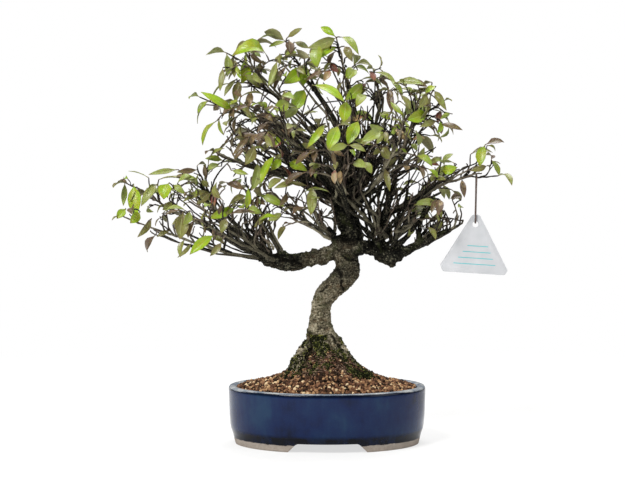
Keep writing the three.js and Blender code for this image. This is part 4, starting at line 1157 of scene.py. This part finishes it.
            [124, -4, 240], [112, -24, 234], [104, -6, 226], [98, -26, 218], [88, -4, 220], [131, -20, 232],
            [118, 4, 226],
        ],
        "leaves": [
            [113, 234, 109, 219, 6, 0.06, "olive"], [125, 227, 120, 216, 7, 0.1, "green"],
            [134, 243, 122, 241, 6, 0.1, "bronze"], [133, 240, 139, 231, 6, 0.1, "bronze"],
            [93, 230, 101, 222, 6, 0.1, "olive"],
        ],
    },
    "right_back": {
        "spine": [
            [56, 0, 192, 2.9], [72, 22, 204, 2.5], [88, 40, 220, 2], [102, 54, 240, 1.5],
            [114, 64, 260, 0.9],
        ],
        "tips": [
            [130, 56, 250], [96, 68, 258], [84, 58, 248], [118, 44, 236], [104, 36, 256], [70, 50, 232],
            [126, 70, 268],
        ],
        "leaves": [],
    },
    "crown_back": {
        "spine": [
            [24, 8, 226, 2.9], [24, 34, 248, 2.5], [22, 52, 270, 2], [18, 66, 294, 1.5], [14, 76, 320, 0.9],
        ],
        "tips": [
            [34, 80, 300], [4, 84, 310], [-6, 66, 286], [40, 62, 280], [24, 62, 332], [30, 90, 322],
            [8, 56, 300],
        ],
        "leaves": [],
    },
    "crown_back_left": {
        "spine": [
            [18, 6, 238, 2.9], [-6, 30, 258, 2.4], [-30, 48, 276, 1.9], [-54, 60, 294, 1.4],
            [-78, 68, 312, 0.9],
        ],
        "tips": [
            [-96, 60, 322], [-68, 78, 324], [-46, 70, 314], [-80, 50, 296], [-60, 44, 310], [-90, 74, 300],
            [-24, 52, 312], [-34, 66, 298],
        ],
        "leaves": [],
    },
    "crown_back_right": {
        "spine": [
            [24, 5, 244, 2.8], [46, 28, 268, 2.3], [62, 44, 290, 1.8], [76, 56, 312, 1.4],
            [88, 64, 332, 0.9],
        ],
        "tips": [[104, 58, 326], [58, 60, 316], [92, 44, 308], [98, 66, 346], [46, 50, 304], [72, 70, 330]],
        "leaves": [],
    },
    "crown_front": {
        "spine": [
            [22, -4, 220, 2.9], [18, -32, 238, 2.5], [12, -50, 256, 2], [6, -64, 276, 1.6],
            [0, -74, 298, 1],
        ],
        "tips": [
            [-14, -74, 286], [20, -80, 292], [10, -82, 312], [26, -64, 276], [-20, -60, 268],
            [-8, -66, 310],
        ],
        "leaves": [
            [11, 310, 0, 288, 12, 0.06, "lime"], [-2, 313, -20, 289, 7, 0.2, "lime"],
            [21, 294, 0, 287, 7, 0.15, "green"], [8, 270, 7, 255, 6, 0.05, "tan"],
            [13, 269, 12, 256, 6, 0.05, "tan"],
        ],
    },
    "crown_front_right": {
        "spine": [
            [24, -4, 234, 2.8], [44, -28, 254, 2.3], [56, -44, 272, 1.9], [66, -54, 292, 1.4],
            [72, -60, 312, 0.9],
        ],
        "tips": [
            [50, -66, 306], [40, -56, 296], [86, -44, 284], [62, -40, 312], [96, -52, 270], [84, -58, 306],
        ],
        "leaves": [
            [30, 317, 19, 293, 12, 0.06, "lime"], [54, 272, 60, 248, 6, 0.15, "olive"],
            [52, 293, 44, 284, 6, 0.1, "olive"], [53, 292, 59, 279, 9, 0.1, "olive"],
            [35, 277, 42, 266, 7, 0.1, "green"], [25, 297, 41, 293, 5, 0.15, "green"],
        ],
    },
    "crown_front_left": {
        "spine": [
            [20, -3, 257, 2.6], [-6, -32, 272, 2.2], [-27, -48, 288, 1.8], [-44, -58, 305, 1.4],
            [-58, -64, 324, 0.9],
        ],
        "tips": [
            [-76, -58, 330], [-30, -66, 308], [-66, -50, 306], [-26, -54, 320], [-60, -72, 302],
            [-44, -70, 326],
        ],
        "leaves": [[-15, 350, 16, 333, 9, 0.12, "lime"], [18, 336, 15, 314, 12, 0.06, "lime"]],
    },
}

spray = {
    "spineShare": 0.72,  # of the plain solid's spine, whose bulk the companions make up
    "extraTwigs": {"left": 3, "middle": 1, "crown": 6, "right": 5},
    "companions": {"left": 3, "middle": 1, "crown": 5, "right": 6},
    "forks": 2,
    "shortestForked": 22,
    "tipSpacing": 6,
    "spacing": 3.2,
    "twigTip": 0.55,
    "bareStubs": 4,
    "leafyTwigs": {"left": 0.2, "middle": 0.1, "crown": 0.4, "right": 0.25},
    "leafyForks": 0.14,
    "sideLeaves": {"left": 0.16, "middle": 0.1, "crown": 0.3, "right": 0.2},
    "denseSideLeaves": 0.7,
    "denseSprays": ("crown_left_high", "crown_left_mid", "crown_top_left"),
    "woodTone": {"left": 0.46, "middle": 0.66, "crown": 0.5, "right": 0.5},
    # the near-black shoots are painted shade among the twigs
    "shadeBlackShoots": 0.2,  # the share of shoots that are near black
    "leafThickness": 0.42,
    "stalkEnd": 0.15,  # the share of a leaf's length that is its stalk
    "goesOn": 0.5,  # how far a leaf keeps its twig's heading, turns aside, and hangs
    "aside": 2,
    "droop": 0.35,
}
leafTones = {"red": 0.05, "tan": 0.19, "bronze": 0.32, "olive": 0.54, "pale": 0.64, "green": 0.74,
             "lime": 0.93}
commonTones = ["olive"] * 10 + ["bronze"] * 10 + ["green"] * 4 + ["lime", "pale", "pale"]


def minimalStandard(seed):
    # the same seeded draws that place the leaves of the plain solids
    state = seed
    while True:
        state = state * 16807 % 2147483647
        yield state / 2147483647


def span(line):
    return (Vector(line[-1][:3]) - Vector(line[0][:3])).length


def headingAt(line, n):
    before, after = line[max(n - 1, 0)], line[min(n + 1, len(line) - 1)]
    return (Vector(after[:3]) - Vector(before[:3])).normalized()


def sideways(chance, heading, *spreads):
    # a random direction square to a heading
    way = stray(chance, *spreads)
    return (way - heading * way.dot(heading)).normalized()


def stationsAlong(spine):
    # places on a spine with the heading and radius there, five to each stretch
    stations = []
    for start, end in zip(spine, spine[1:]):
        heading = (Vector(end[:3]) - Vector(start[:3])).normalized()
        for part in range(5):
            point = [lerp(a, b, part / 5) for a, b in zip(start, end)]
            stations.append((Vector(point[:3]), heading, point[3]))
    return stations


def twigLine(stations, tip, taken, spacing):
    # a twig leaves its spine at a narrow angle and bends towards its tip
    def cost(station):
        way = tip - station[0]
        return way.length * (1 + 1.3 * (1 - way.dot(station[1]) / max(way.length, 1)))
    free = [s for s in stations[4:] if all((s[0] - other).length > spacing for other in taken)]
    place, heading, radius = min(free or stations[4:], key=cost)
    length = (tip - place).length
    thick = min(radius * 0.75, 0.8 + length * 0.013)
    corner = place + heading * length * 0.5
    rows = []
    for n in range(9):
        t = n / 8
        point = place * (1 - t) ** 2 + corner * (2 * t * (1 - t)) + tip * t * t
        rows.append([*point, lerp(thick, spray["twigTip"], t ** 0.8)])
    return rows


def knobbly(line, chance, sway=0.55):
    # nodes along a twig: a small swelling and a slight change of course at each
    rows = []
    drift = Vector((0, 0, 0))
    for n, (x, y, z, radius) in enumerate(line):
        if 0 < n < len(line) - 1:
            drift = drift * 0.5 + stray(chance, sway)
        swell = 1 + (0.22 if n % 2 else -0.06) * chance.uniform(0.5, 1.3)
        rows.append([x + drift.x, y + drift.y, z + drift.z, radius * swell])
    return rows


def companionLine(spine, tip, chance):
    # a long thin shoot that starts low on the spine, runs beside it, and leaves it for its own tip
    first = chance.uniform(0, 0.4)
    aside = sideways(chance, (tip - Vector(spine[0][:3])).normalized(), 1)
    radius = chance.uniform(0.75, 1.5)
    bow = chance.uniform(2, 11)
    rows = []
    for part in range(12):
        t = part / 11
        x, y, z, thick = spine[round(lerp(first, 1, t * 0.8) * (len(spine) - 1))]
        beside = Vector((x, y, z)) + aside * (thick * 0.7 + bow * math.sin(min(1, t * 1.6) * math.pi / 2))
        rows.append([*beside.lerp(tip, t ** 1.3), lerp(radius, spray["twigTip"], t ** 0.8)])
    return rows


def forkLine(line, n, chance, length, lift=0.12):
    # a side shoot from a twig's row n
    start = Vector(line[n][:3])
    heading = headingAt(line, n)
    side = sideways(chance, heading, 1)
    heading = (heading + side * chance.uniform(0.4, 1.0) + up * lift).normalized()
    bend = side * chance.uniform(-0.25, 0.1)
    radius = min(line[n][3] * 0.75, 0.9)
    rows = []
    for part in range(6):
        t = part / 5
        point = start + heading * length * t + bend * length * t * t
        rows.append([*point, lerp(radius, spray["twigTip"] * 0.85, t)])
    return rows


def leafFace(place, axis):
    # leaves face the sky, and those that hang face away from the middle of the crown
    outward = Vector((place.x - 18, place.y * 3, 0)).normalized()
    steep = abs(axis.z)
    return up * (1 - 0.8 * steep) + outward * (0.45 + steep)


# how wide the blade is along its length, both as shares; the stalk is its narrow start
leafOutline = [(0.0, 0.05), (0.1, 0.06), (0.19, 0.4), (0.33, 0.85), (0.5, 1.0), (0.66, 0.93), (0.82, 0.62),
               (0.94, 0.24), (1.0, 0.02)]


def makeLeafShape():
    # a blade of unit length with its narrow stalk, four faces wide
    rows = len(leafOutline) - 1
    blade = add(bpy.ops.mesh.primitive_grid_add, x_subdivisions=4, y_subdivisions=rows, size=1)
    for corner in blade.data.vertices:
        along, width = leafOutline[round((corner.co.y + 0.5) * rows)]
        corner.co = (corner.co.x * width, along, 0)
    addModifier(blade, "SOLIDIFY", thickness=1, offset=0)
    return takeShape(blade)


leafCorners, leafFaces = makeLeafShape()
leafWidths = np.interp(leafCorners[:, 1], *zip(*leafOutline))


class Leaves:
    # the leaves of a spray, gathered for one mesh
    def __init__(self, chance):
        self.chance = chance
        self.corners, self.tones = [], []

    def commonTone(self):
        return leafTones[self.chance.choice(commonTones)]

    def addLeaf(self, base, tip, width, arch, face, tone):
        # bends a copy of the leaf from its base to its tip, folded a little along its midrib
        if tip.x > 112 and tip.z < 232:
            return  # the label hangs clear of the leaves
        chance = self.chance
        length = (tip - base).length
        axis = (tip - base).normalized()
        side = axis.cross(face).normalized()
        normal = side.cross(axis)
        roll = Quaternion(axis, chance.gauss(0, 0.28))
        side, normal = roll @ side, roll @ normal
        ranges = (0.12, 0.5), (-0.06, 0.1), (0.02, 0.09), (0, 6)
        fold, curl, wave, phase = [chance.uniform(low, high) for low, high in ranges]
        x, y, z = leafCorners.T
        onStalk = y < spray["stalkEnd"]
        bladeHalf = np.abs(x) * width
        lift = arch * length * 4 * y * (1 - y) + fold * bladeHalf - curl * length * y ** 3
        lift += wave * bladeHalf * np.sin(y * 11 + phase + np.sign(x) * 1.3) * 1.6
        lift += np.sign(z) * spray["leafThickness"] / 2 * np.where(onStalk, 2, 1)
        sidestep = x * width * np.where(onStalk, max(1, 11 / width), 1)
        sidestep = sidestep + chance.uniform(-0.06, 0.06) * length * np.sin(y * math.pi)
        self.corners.append(
            np.outer(y * length, axis) + np.outer(sidestep, side) + np.outer(lift, normal) + np.array(base))
        self.tones.append(clamp(tone + chance.gauss(0, 0.035)))

    def endLeaf(self, line, seed, tone, scale=1):
        # a leaf that goes on from the end of a line and droops
        draws = minimalStandard(seed)
        end = Vector(line[-1][:3])
        heading = (end - Vector(line[-3][:3])).normalized()
        across = heading.cross(up).normalized()
        droop, sway, size, slim = [next(draws) for _ in range(4)]
        axis = heading * spray["goesOn"] + across * (sway - 0.5) * spray["aside"]
        axis = (axis - up * (spray["droop"] + droop)).normalized()
        length = (14 + 15 * size) * scale
        width = length * (0.28 + 0.14 * slim)
        self.addLeaf(end, end + axis * length, width, 0.06 + 0.14 * slim, leafFace(end, axis), tone)

    def maybeEndLeaf(self, line, share, scale):
        if self.chance.random() < share:
            self.endLeaf(line, self.chance.randrange(1, 99999), self.commonTone(), scale)

    def sideLeaf(self, line, n, length, tone):
        # one leaf of a pair at a node
        chance = self.chance
        place = Vector(line[n][:3])
        heading = headingAt(line, n)
        side = sideways(chance, heading, 1, 1, 0.6)
        axis = (heading * 0.35 + side * 0.7 - up * chance.uniform(0.1, 1.1)).normalized()
        width = length * chance.uniform(0.26, 0.4)
        arch = chance.uniform(0.04, 0.14)
        self.addLeaf(place, place + axis * length, width, arch, leafFace(place, axis), tone)

    def addShown(self, lines, rows):
        # the leaves that show from the front, each from the wood that lies nearest to its base
        points = [Vector(row[:3]) for line in lines for row in line[1:]]
        face = Vector((0.1, -1, 0.45))
        stalks = []
        for x, z, tipX, tipZ, width, arch, colour in rows:
            root = min(points, key=lambda point: math.hypot(point.x - x, point.z - z))
            far = math.hypot(root.x - x, root.z - z)
            base = root
            if far >= 3:
                base = Vector((x, root.y - 4, z))
                middle = root.lerp(base, 0.5) + up * far * 0.12
                stalks.append([[*root, 0.8], [*middle, 0.65], [*base, 0.55]])
            tip = Vector((tipX, base.y - 0.4 * math.hypot(tipX - x, tipZ - z), tipZ))
            self.addLeaf(base, tip, width * 1.04, arch, face, leafTones[colour])
        return stalks

    def finish(self, name):
        x, y, z = leafCorners.T
        count, size = len(self.corners), len(leafCorners)
        corners = np.vstack(self.corners) * mm + np.array(home)
        faces = np.vstack([leafFaces + n * size for n in range(count)])
        piece = meshFrom(name + "_leaves", corners, faces, tone=np.repeat(self.tones, size),
                         under=np.tile(z < 0, count))
        places = np.tile(np.stack([x / np.maximum(leafWidths, 0.02) + 0.5, y], axis=1), (count, 1))
        blade = piece.data.uv_layers.new(name="blade")
        blade.data.foreach_set("uv", places[faces.ravel()].astype(np.float32).ravel())
        finishPiece(piece, leafSkin, ["spray_" + name], 80)


def growSpray(name, number, spine, tips, shown):
    chance = random.Random(200 + number)
    part = name.split("_")[0]
    leaves = Leaves(chance)
    stations = stationsAlong(spine)
    slender = [[*row[:3], row[3] * spray["spineShare"]] for row in spine]
    stem = knobbly(smoothLine(slender, 4), chance, 0.4)
    leaves.endLeaf(stem, 77 + number, leaves.commonTone())
    twigs, taken = [], []
    for tipNumber, tip in enumerate(tips):
        line = knobbly(twigLine(stations, Vector(tip), taken, spray["tipSpacing"]), chance)
        taken.append(Vector(line[0][:3]))
        twigs.append(line)
        leaves.endLeaf(line, 1000 + number * 97 + tipNumber * 13, leaves.commonTone())
    ends = tips + [spine[-1][:3], spine[-2][:3]]

    def tipBetween(low, high, *spreads):
        first, second = chance.sample(ends, 2)
        tip = Vector(first).lerp(Vector(second), chance.uniform(low, high))
        return tip + stray(chance, *spreads)

    for _ in range(spray["extraTwigs"][part]):
        line = knobbly(twigLine(stations, tipBetween(0.15, 0.85, 5, 8, 5), taken, spray["spacing"]), chance)
        taken.append(Vector(line[0][:3]))
        twigs.append(line)
        leaves.maybeEndLeaf(line, spray["leafyTwigs"][part], 0.7)
    companions = []
    for _ in range(spray["companions"][part]):
        line = knobbly(companionLine(stem, tipBetween(0, 0.7, 6, 9, 6), chance), chance, 0.45)
        companions.append(line)
        leaves.maybeEndLeaf(line, spray["leafyTwigs"][part], 0.75)
    shoots = []
    for line in twigs:
        length = span(line)
        for _ in range(spray["forks"] if length >= spray["shortestForked"] else 0):
            shoot = forkLine(line, chance.randrange(3, 7), chance, length * chance.uniform(0.22, 0.42))
            shoot = knobbly(shoot, chance, 0.35)
            shoots.append(shoot)
            leaves.maybeEndLeaf(shoot, spray["leafyForks"], 0.55)
        leafy = spray["denseSideLeaves"] if name in spray["denseSprays"] else spray["sideLeaves"][part]
        for node in (7, 5):
            if chance.random() < leafy:
                tone = leaves.commonTone()
                for _ in range(2):
                    leaves.sideLeaf(line, node, chance.uniform(12, 20), tone)
            leafy -= 1
    stubs = []
    for _ in range(spray["bareStubs"]):
        node = chance.randrange(3, len(stem) - 3)
        stub = forkLine(stem, node, chance, chance.uniform(4, 9))
        stubs.append([[x, y, z, max(radius, 0.65)] for x, y, z, radius in stub[:4]])
    stalks = leaves.addShown([stem] + twigs, shown)
    lines = [stem] + twigs + companions + shoots + stubs + stalks
    makeWood(name, lines, chance, ["spray_" + name], spray["woodTone"][part])
    leaves.finish(name)


def makeWood(name, lines, chance, nodes, tone):
    # tubes whose bark knows how young each place is, and whether its shoot is a pale or a dark one
    wood = drawTubes(name + "_wood", lines, 2)
    # some shoots are painted near black as shade among the twigs
    toned = [(line, clamp(chance.gauss(tone, 0.25) - (0.4 if chance.random() < spray["shadeBlackShoots"] else 0)))
             for line in lines]
    # the mesh has the end caps of all the tubes first, from the last tube to the first
    rings = [(row[3], value) for line, value in reversed(toned) for row in (line[-1], line[0])]
    rings += [(row[3], value) for line, value in toned for row in line]
    radius, shade = np.repeat(np.array(rings), 8, axis=0).T
    keepValues(wood.data, youth=np.clip(1.5 - radius, 0, 1), shade=shade - np.clip(radius - 1.3, 0, 1) * 0.3)
    finishPiece(wood, twigBark, nodes, 70)


twigBark = makeTwigBark()
leafSkin = makeLeafSkin()
for number, (name, parts) in enumerate(sprays.items()):
    growSpray(name, number, parts["spine"], parts["tips"], parts["leaves"])

# Bare shoots in the heart of the crown: how many, where they leave the wood and how far apart, where
# they reach and how far apart, and how thick they start
paleFans = [
    [8, (6, -10, 203), 4, (-46, -18, 234), (13, 10, 6), 1.0],
    [7, (5, -10, 206), 4, (-14, -20, 246), (11, 12, 8), 1.1],
    [6, (52, -18, 204), 6, (62, -26, 236), (22, 8, 16), 1.2],
    [5, (66, -18, 206), 6, (88, -24, 232), (14, 8, 12), 1.2],
    [5, (14, -20, 246), 8, (20, -30, 280), (28, 10, 14), 1.2],
    [4, (-58, -18, 190), 5, (-72, -26, 222), (12, 8, 10), 1.1],
]
fans = [
    [12, (-59, -10, 184), 5, (-70, -16, 232), (11, 12, 10), 1.7],
    [7, (-64, -10, 186), 5, (-122, -14, 222), (26, 24, 12), 1.5],
    [12, (50, -6, 200), 6, (60, -12, 272), (24, 20, 16), 1.6],
    [8, (66, -8, 194), 4, (100, -12, 250), (16, 16, 14), 1.4],
    [10, (44, -6, 202), 5, (38, -16, 272), (16, 20, 16), 1.5],
    [4, (90, -11, 197), 3, (114, -16, 228), (10, 8, 6), 1.2],
    [20, (20, 2, 232), 7, (24, 0, 330), (34, 28, 22), 1.6],
    [15, (18, 2, 242), 6, (-2, -4, 306), (36, 22, 18), 1.5],
    [14, (22, 4, 250), 6, (62, 0, 318), (28, 24, 18), 1.5],
    [20, (12, -2, 240), 6, (-56, -10, 310), (26, 22, 20), 1.6],
    [7, (12, -2, 236), 5, (-50, -14, 280), (22, 18, 8), 1.3],
    [13, (27, 2, 236), 6, (86, -2, 296), (20, 20, 16), 1.5],
]
frontBranches = [
    [[60, -10, 203, 2.2], [52, -17, 211, 2.3], [42, -20, 217, 1.9], [33, -22, 228, 1.8], [20, -24, 240, 1.5],
     [6, -24, 254, 1.2]],
    [[56, -14, 207, 1.9], [46, -19, 212, 1.8], [36, -21, 221, 1.5], [18, -24, 232, 1.4], [4, -26, 244, 1]],
    [[50, -10, 196, 2.4], [52, -16, 206, 2.2], [56, -17, 216, 1.8], [57, -18, 230, 1.8], [62, -18, 252, 1.2]],
    [[62, -10, 190, 2.4], [68, -12, 203, 2.1], [70, -12, 214, 1.8], [76, -12, 230, 1.7], [80, -12, 250, 1.2]],
    [[52, -10, 202, 2], [60, -18, 214, 1.8], [74, -20, 226, 1.7], [92, -22, 238, 1.4], [112, -22, 248, 1.1]],
    [[66, -8, 190, 3], [80, -12, 206, 2.4], [96, -14, 226, 2], [104, -15, 240, 1.6]],
]


def makeFans(name, rows, branches, seed, tone):
    chance = random.Random(seed)
    lines = [knobbly(smoothLine(line, 5), chance, 0.45) for line in branches]
    shoots = []
    for count, root, gap, reach, spread, radius in rows:
        for _ in range(count):
            place = Vector(root) + Vector([chance.uniform(-gap, gap) for _ in range(3)])
            tip = Vector(reach) + stray(chance, *[across * 0.62 for across in spread])
            length = (tip - place).length
            first, second = [stray(chance, 0.12) * length for _ in range(2)]
            thick = radius * chance.uniform(0.5, 1.2)
            sag = up * 0.04 * length
            bends = [place, place.lerp(tip, 0.33) + first - sag, place.lerp(tip, 0.67) + second, tip]
            for n in (1, 2):
                bends[n].z = max(bends[n].z, place.lerp(tip, n / 3).z - 4, place.z + 3)
            shoot = [[*bend, lerp(thick, spray["twigTip"], (n / 3) ** 0.8)] for n, bend in enumerate(bends)]
            shoots.append(knobbly(smoothLine(shoot, 4), chance, 0.7))
    for line in shoots:
        lines.append(line)
        length = span(line)
        for _ in range(chance.choice([1, 2, 2, 3])):
            shoot = forkLine(line, chance.randrange(4, 10), chance, length * chance.uniform(0.15, 0.34), 0.45)
            lines.append(knobbly(shoot, chance, 0.4))
    makeWood(name, lines, chance, [], tone)


# the heart's shoots are toned dark as painted shade deep in the crown
makeFans("heart", fans, frontBranches, 61, 0.33)
makeFans("front_shoots", paleFans, [], 62, 0.7)


# Moss on the flare and the mound, crumbs, and fine roots that cross the mound

moss = {
    # the middle of each patch and how far it spreads
    "patches": [(-34, -20, 12), (-28, -26, 10), (-12, -16, 12), (-15, -31, 9), (0, -34, 6), (10, -18, 12),
                (22, -18, 12), (27, -29, 10), (34, -24, 10), (40, -18, 9), (30, 12, 14), (-24, 22, 14),
                (4, 28, 12)],
    "tufts": 6200,
    "triesOnBark": 8400,
    "barkFrom": 64,
    "barkTo": 106,
    "tuftOnSoil": (0.8, 2.0),
    "tuftOnBark": (0.8, 1.8),
}
debris = {"count": 3400, "reach": 44, "size": (1.1, 2.8), "shape": (1, 0.8, 0.5), "tone": (0.22, 0.28)}
fineRoots = {"count": 130, "long": 34, "above": (0.6, 2.2)}


def makeTuft(seed):
    tuft = add(bpy.ops.mesh.primitive_ico_sphere_add, subdivisions=1, radius=0.5)
    with editing(tuft):
        bpy.ops.transform.vertex_random(offset=0.34, seed=seed)
    return takeShape(tuft)


def makeMossPatches():
    chance = random.Random(31)
    shapes = [makeTuft(seed) for seed in (5, 6, 7, 8)]
    tree = BVHTree.FromObject(trunkWood, bpy.context.evaluated_depsgraph_get())
    copies = []

    def addTuft(point, size, tone):
        copies.append((placed(point, turnedAnyway(chance), size), chance.randrange(len(shapes)), tone))

    for _ in range(moss["tufts"]):
        x, y, spread = chance.choice(moss["patches"])
        px, py = x + chance.gauss(0, spread * 0.42), y + chance.gauss(0, spread * 0.32)
        if noise.noise(Vector((px, py, 9)) * 0.16) < -0.16:
            continue
        z = soilHeight(px, py) + chance.uniform(0.2, 2.2)
        bright = clamp(noise.noise(Vector((px, py, 20)) * 0.2) * 2)
        size = chance.uniform(*moss["tuftOnSoil"])
        addTuft(spot(px, py, z), size, chance.gauss(0.38, 0.26) + 0.22 * bright)
    for _ in range(moss["triesOnBark"]):
        angle = chance.uniform(0, 2 * math.pi)
        height = chance.uniform(moss["barkFrom"], moss["barkTo"])
        outward = Vector((math.cos(angle), math.sin(angle), 0))
        point, normal, _, _ = tree.ray_cast(spot(-4, -2, height) + outward * 70 * mm, -outward)
        if point is None:
            continue
        place = local(point)
        wander = noise.noise(place * 0.09) + 0.4 * noise.noise(place * 0.3)
        # a cushion fills the hollow in the front of the flare
        hollow = clamp(1.5 - abs(place.x + 11) / 9) if place.y < 0 else 0
        if wander < lerp(clamp((height - 86) / 22) * 0.5 - 0.12, -0.5, hollow):
            continue
        bright = clamp(noise.noise(place * 0.28) * 2.6)
        size = chance.uniform(*moss["tuftOnBark"])
        addTuft(point + normal * 0.3 * mm, size, chance.gauss(0.34, 0.27) + 0.42 * bright)
    finishPiece(copyMany("moss_patches", shapes, copies), makeMoss(), (), 30)


def makeDebris():
    # crumbs of bark, clay and moss that cover the mound
    chance = random.Random(71)
    shapes = [makeTuft(seed) for seed in (11, 12, 13)]
    copies = []
    for _ in range(debris["count"]):
        angle, away = chance.uniform(0, 2 * math.pi), math.sqrt(chance.uniform(0.05, 1)) * debris["reach"]
        x, y = away * math.cos(angle), away * math.sin(angle) - 2
        point = spot(x, y, soilTop(x, y) + chance.uniform(-1.0, 0.6))
        matrix = placed(point, turnedAnyway(chance), chance.uniform(*debris["size"]), debris["shape"])
        copies.append((matrix, chance.randrange(len(shapes)),
                       chance.gauss(*debris["tone"]) + (0.45 if chance.random() < 0.1 else 0)))
    finishPiece(copyMany("mound_debris", shapes, copies), grit, (), 40)


def makeFineRoots():
    chance = random.Random(47)
    lines = []
    for number in range(fineRoots["count"]):
        # a few long roots, and short bits of root and bark among the grains
        long = number < fineRoots["long"]
        angle = chance.uniform(0, 2 * math.pi)
        away = chance.uniform(12, 40)
        x, y = away * math.cos(angle), away * math.sin(angle)
        if long:
            x, y = chance.uniform(-26, 26), chance.uniform(-36, -16)
        heading = chance.uniform(-0.5, 0.5) + (math.pi if chance.random() < 0.5 else 0)
        radius = chance.uniform(0.3, 0.7) if long else chance.uniform(0.35, 0.65)
        line = []
        for part in range(chance.randrange(5, 11) if long else 3):
            z = soilHeight(x, y) + chance.uniform(*fineRoots["above"])
            line.append([x, y, z, radius * (1 - part * 0.06)])
            heading += chance.gauss(0, 0.35)
            x += 3.2 * math.cos(heading)
            y += 2.6 * math.sin(heading)
        lines.append(smoothLine(line, 2))
    finishPiece(drawTubes("fine_roots", lines, 1), makeRootSkin(), (), 70)


makeMossPatches()
makeDebris()
makeFineRoots()


# The label and its wire

label = {
    "corners": [[143.3, 225.5], [111.7, 176.3], [114.2, 169.7], [175.4, 165.6], [178.5, 170.2],
                [150.4, 225.5]],
    "thickness": 1,
    "round": 1.1,
    "y": -18,
    "hole": [146.4, 216, 3],
    "rules": [(9, 21), (15, 17.5), (21, 14), (27, 10.5)],  # how far above the lower edge, and half the length
}
wire = {"radius": 0.8, "hangX": 148, "waistBelowArm": 12, "slack": 0.2, "clearance": 0.3}


def makeLabel():
    upright = (math.pi / 2, 0, 0)
    tag = add(bpy.ops.mesh.primitive_circle_add, vertices=6, radius=1, fill_type="NGON", rotation=upright)
    settle(tag)
    for corner, (x, z) in zip(tag.data.vertices, label["corners"]):
        corner.co = spot(x, label["y"] + label["thickness"] / 2, z)
    with editing(tag):
        bpy.ops.mesh.bevel(offset=label["round"] * mm, segments=5, affect="VERTICES")
        bpy.ops.mesh.select_all(action="SELECT")
        bpy.ops.mesh.extrude_region_move(TRANSFORM_OT_translate={"value": (0, -label["thickness"] * mm, 0)})
        bpy.ops.mesh.select_all(action="SELECT")
        bpy.ops.mesh.normals_make_consistent(inside=False)
    x, z, radius = label["hole"]
    cutOut(tag, add(bpy.ops.mesh.primitive_cylinder_add, vertices=40, radius=radius * mm, depth=10 * mm,
                    location=spot(x, label["y"], z), rotation=upright))
    bevelEdges(tag, 0.22, 50)
    tag.name = tag.data.name = "label_tag"
    start, end = label["corners"][2:4]
    slope = math.atan2(end[1] - start[1], end[0] - start[0])
    finish = makeLabelPlastic(start, slope, math.dist(start, end), label["rules"])
    finishPiece(tag, finish, ["label"], 40)


def makeHangingWire():
    # a closed loop over the arm and through the hole, twisted below the arm
    stations = stationsAlong(sprays["right_arm"]["spine"])
    arm, _, armRadius = min(stations, key=lambda station: abs(station[0].x - wire["hangX"]))
    around = wire["clearance"] + wire["radius"] + wire["slack"]
    over = armRadius * 1.7 / math.sqrt(2) + around
    under = label["thickness"] / 2 + around
    holeX, holeZ, holeRadius = label["hole"]
    y, foot, waist = label["y"], holeZ + holeRadius + wire["slack"], arm.z - wire["waistBelowArm"]
    points = []
    for n in range(13):
        angle = math.pi * n / 12
        points.append([arm.x, arm.y + over * math.cos(angle), arm.z + over * math.sin(angle)])
    back = [[arm.x, arm.y - over * 0.9, arm.z - 4], [lerp(arm.x, holeX, 0.3), y - 1.0, waist],
            [lerp(arm.x, holeX, 0.6), y - 0.95, lerp(waist, foot, 0.5)], [holeX, y - under, foot + 3]]
    points += back
    for n in range(9):
        angle = math.pi * n / 8
        points.append([holeX, y - under * math.cos(angle), foot - under * math.sin(angle)])
    points += [[x, 2 * y - backY, z] for x, backY, z in reversed(back)]
    points[-1][1] = arm.y + over * 0.9
    piece = drawTubes("label_wire_coated", [[[*point, wire["radius"]] for point in points]], 4, closed=True)
    finishPiece(piece, makeWireCoat(), ["label_wire"], 60)


makeLabel()
makeHangingWire()

screenPlastic = makeScreenPlastic()
for name in ("drain_screen_left", "drain_screen_right"):
    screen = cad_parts[name]
    screen.data.materials.clear()
    screen.data.materials.append(screenPlastic)
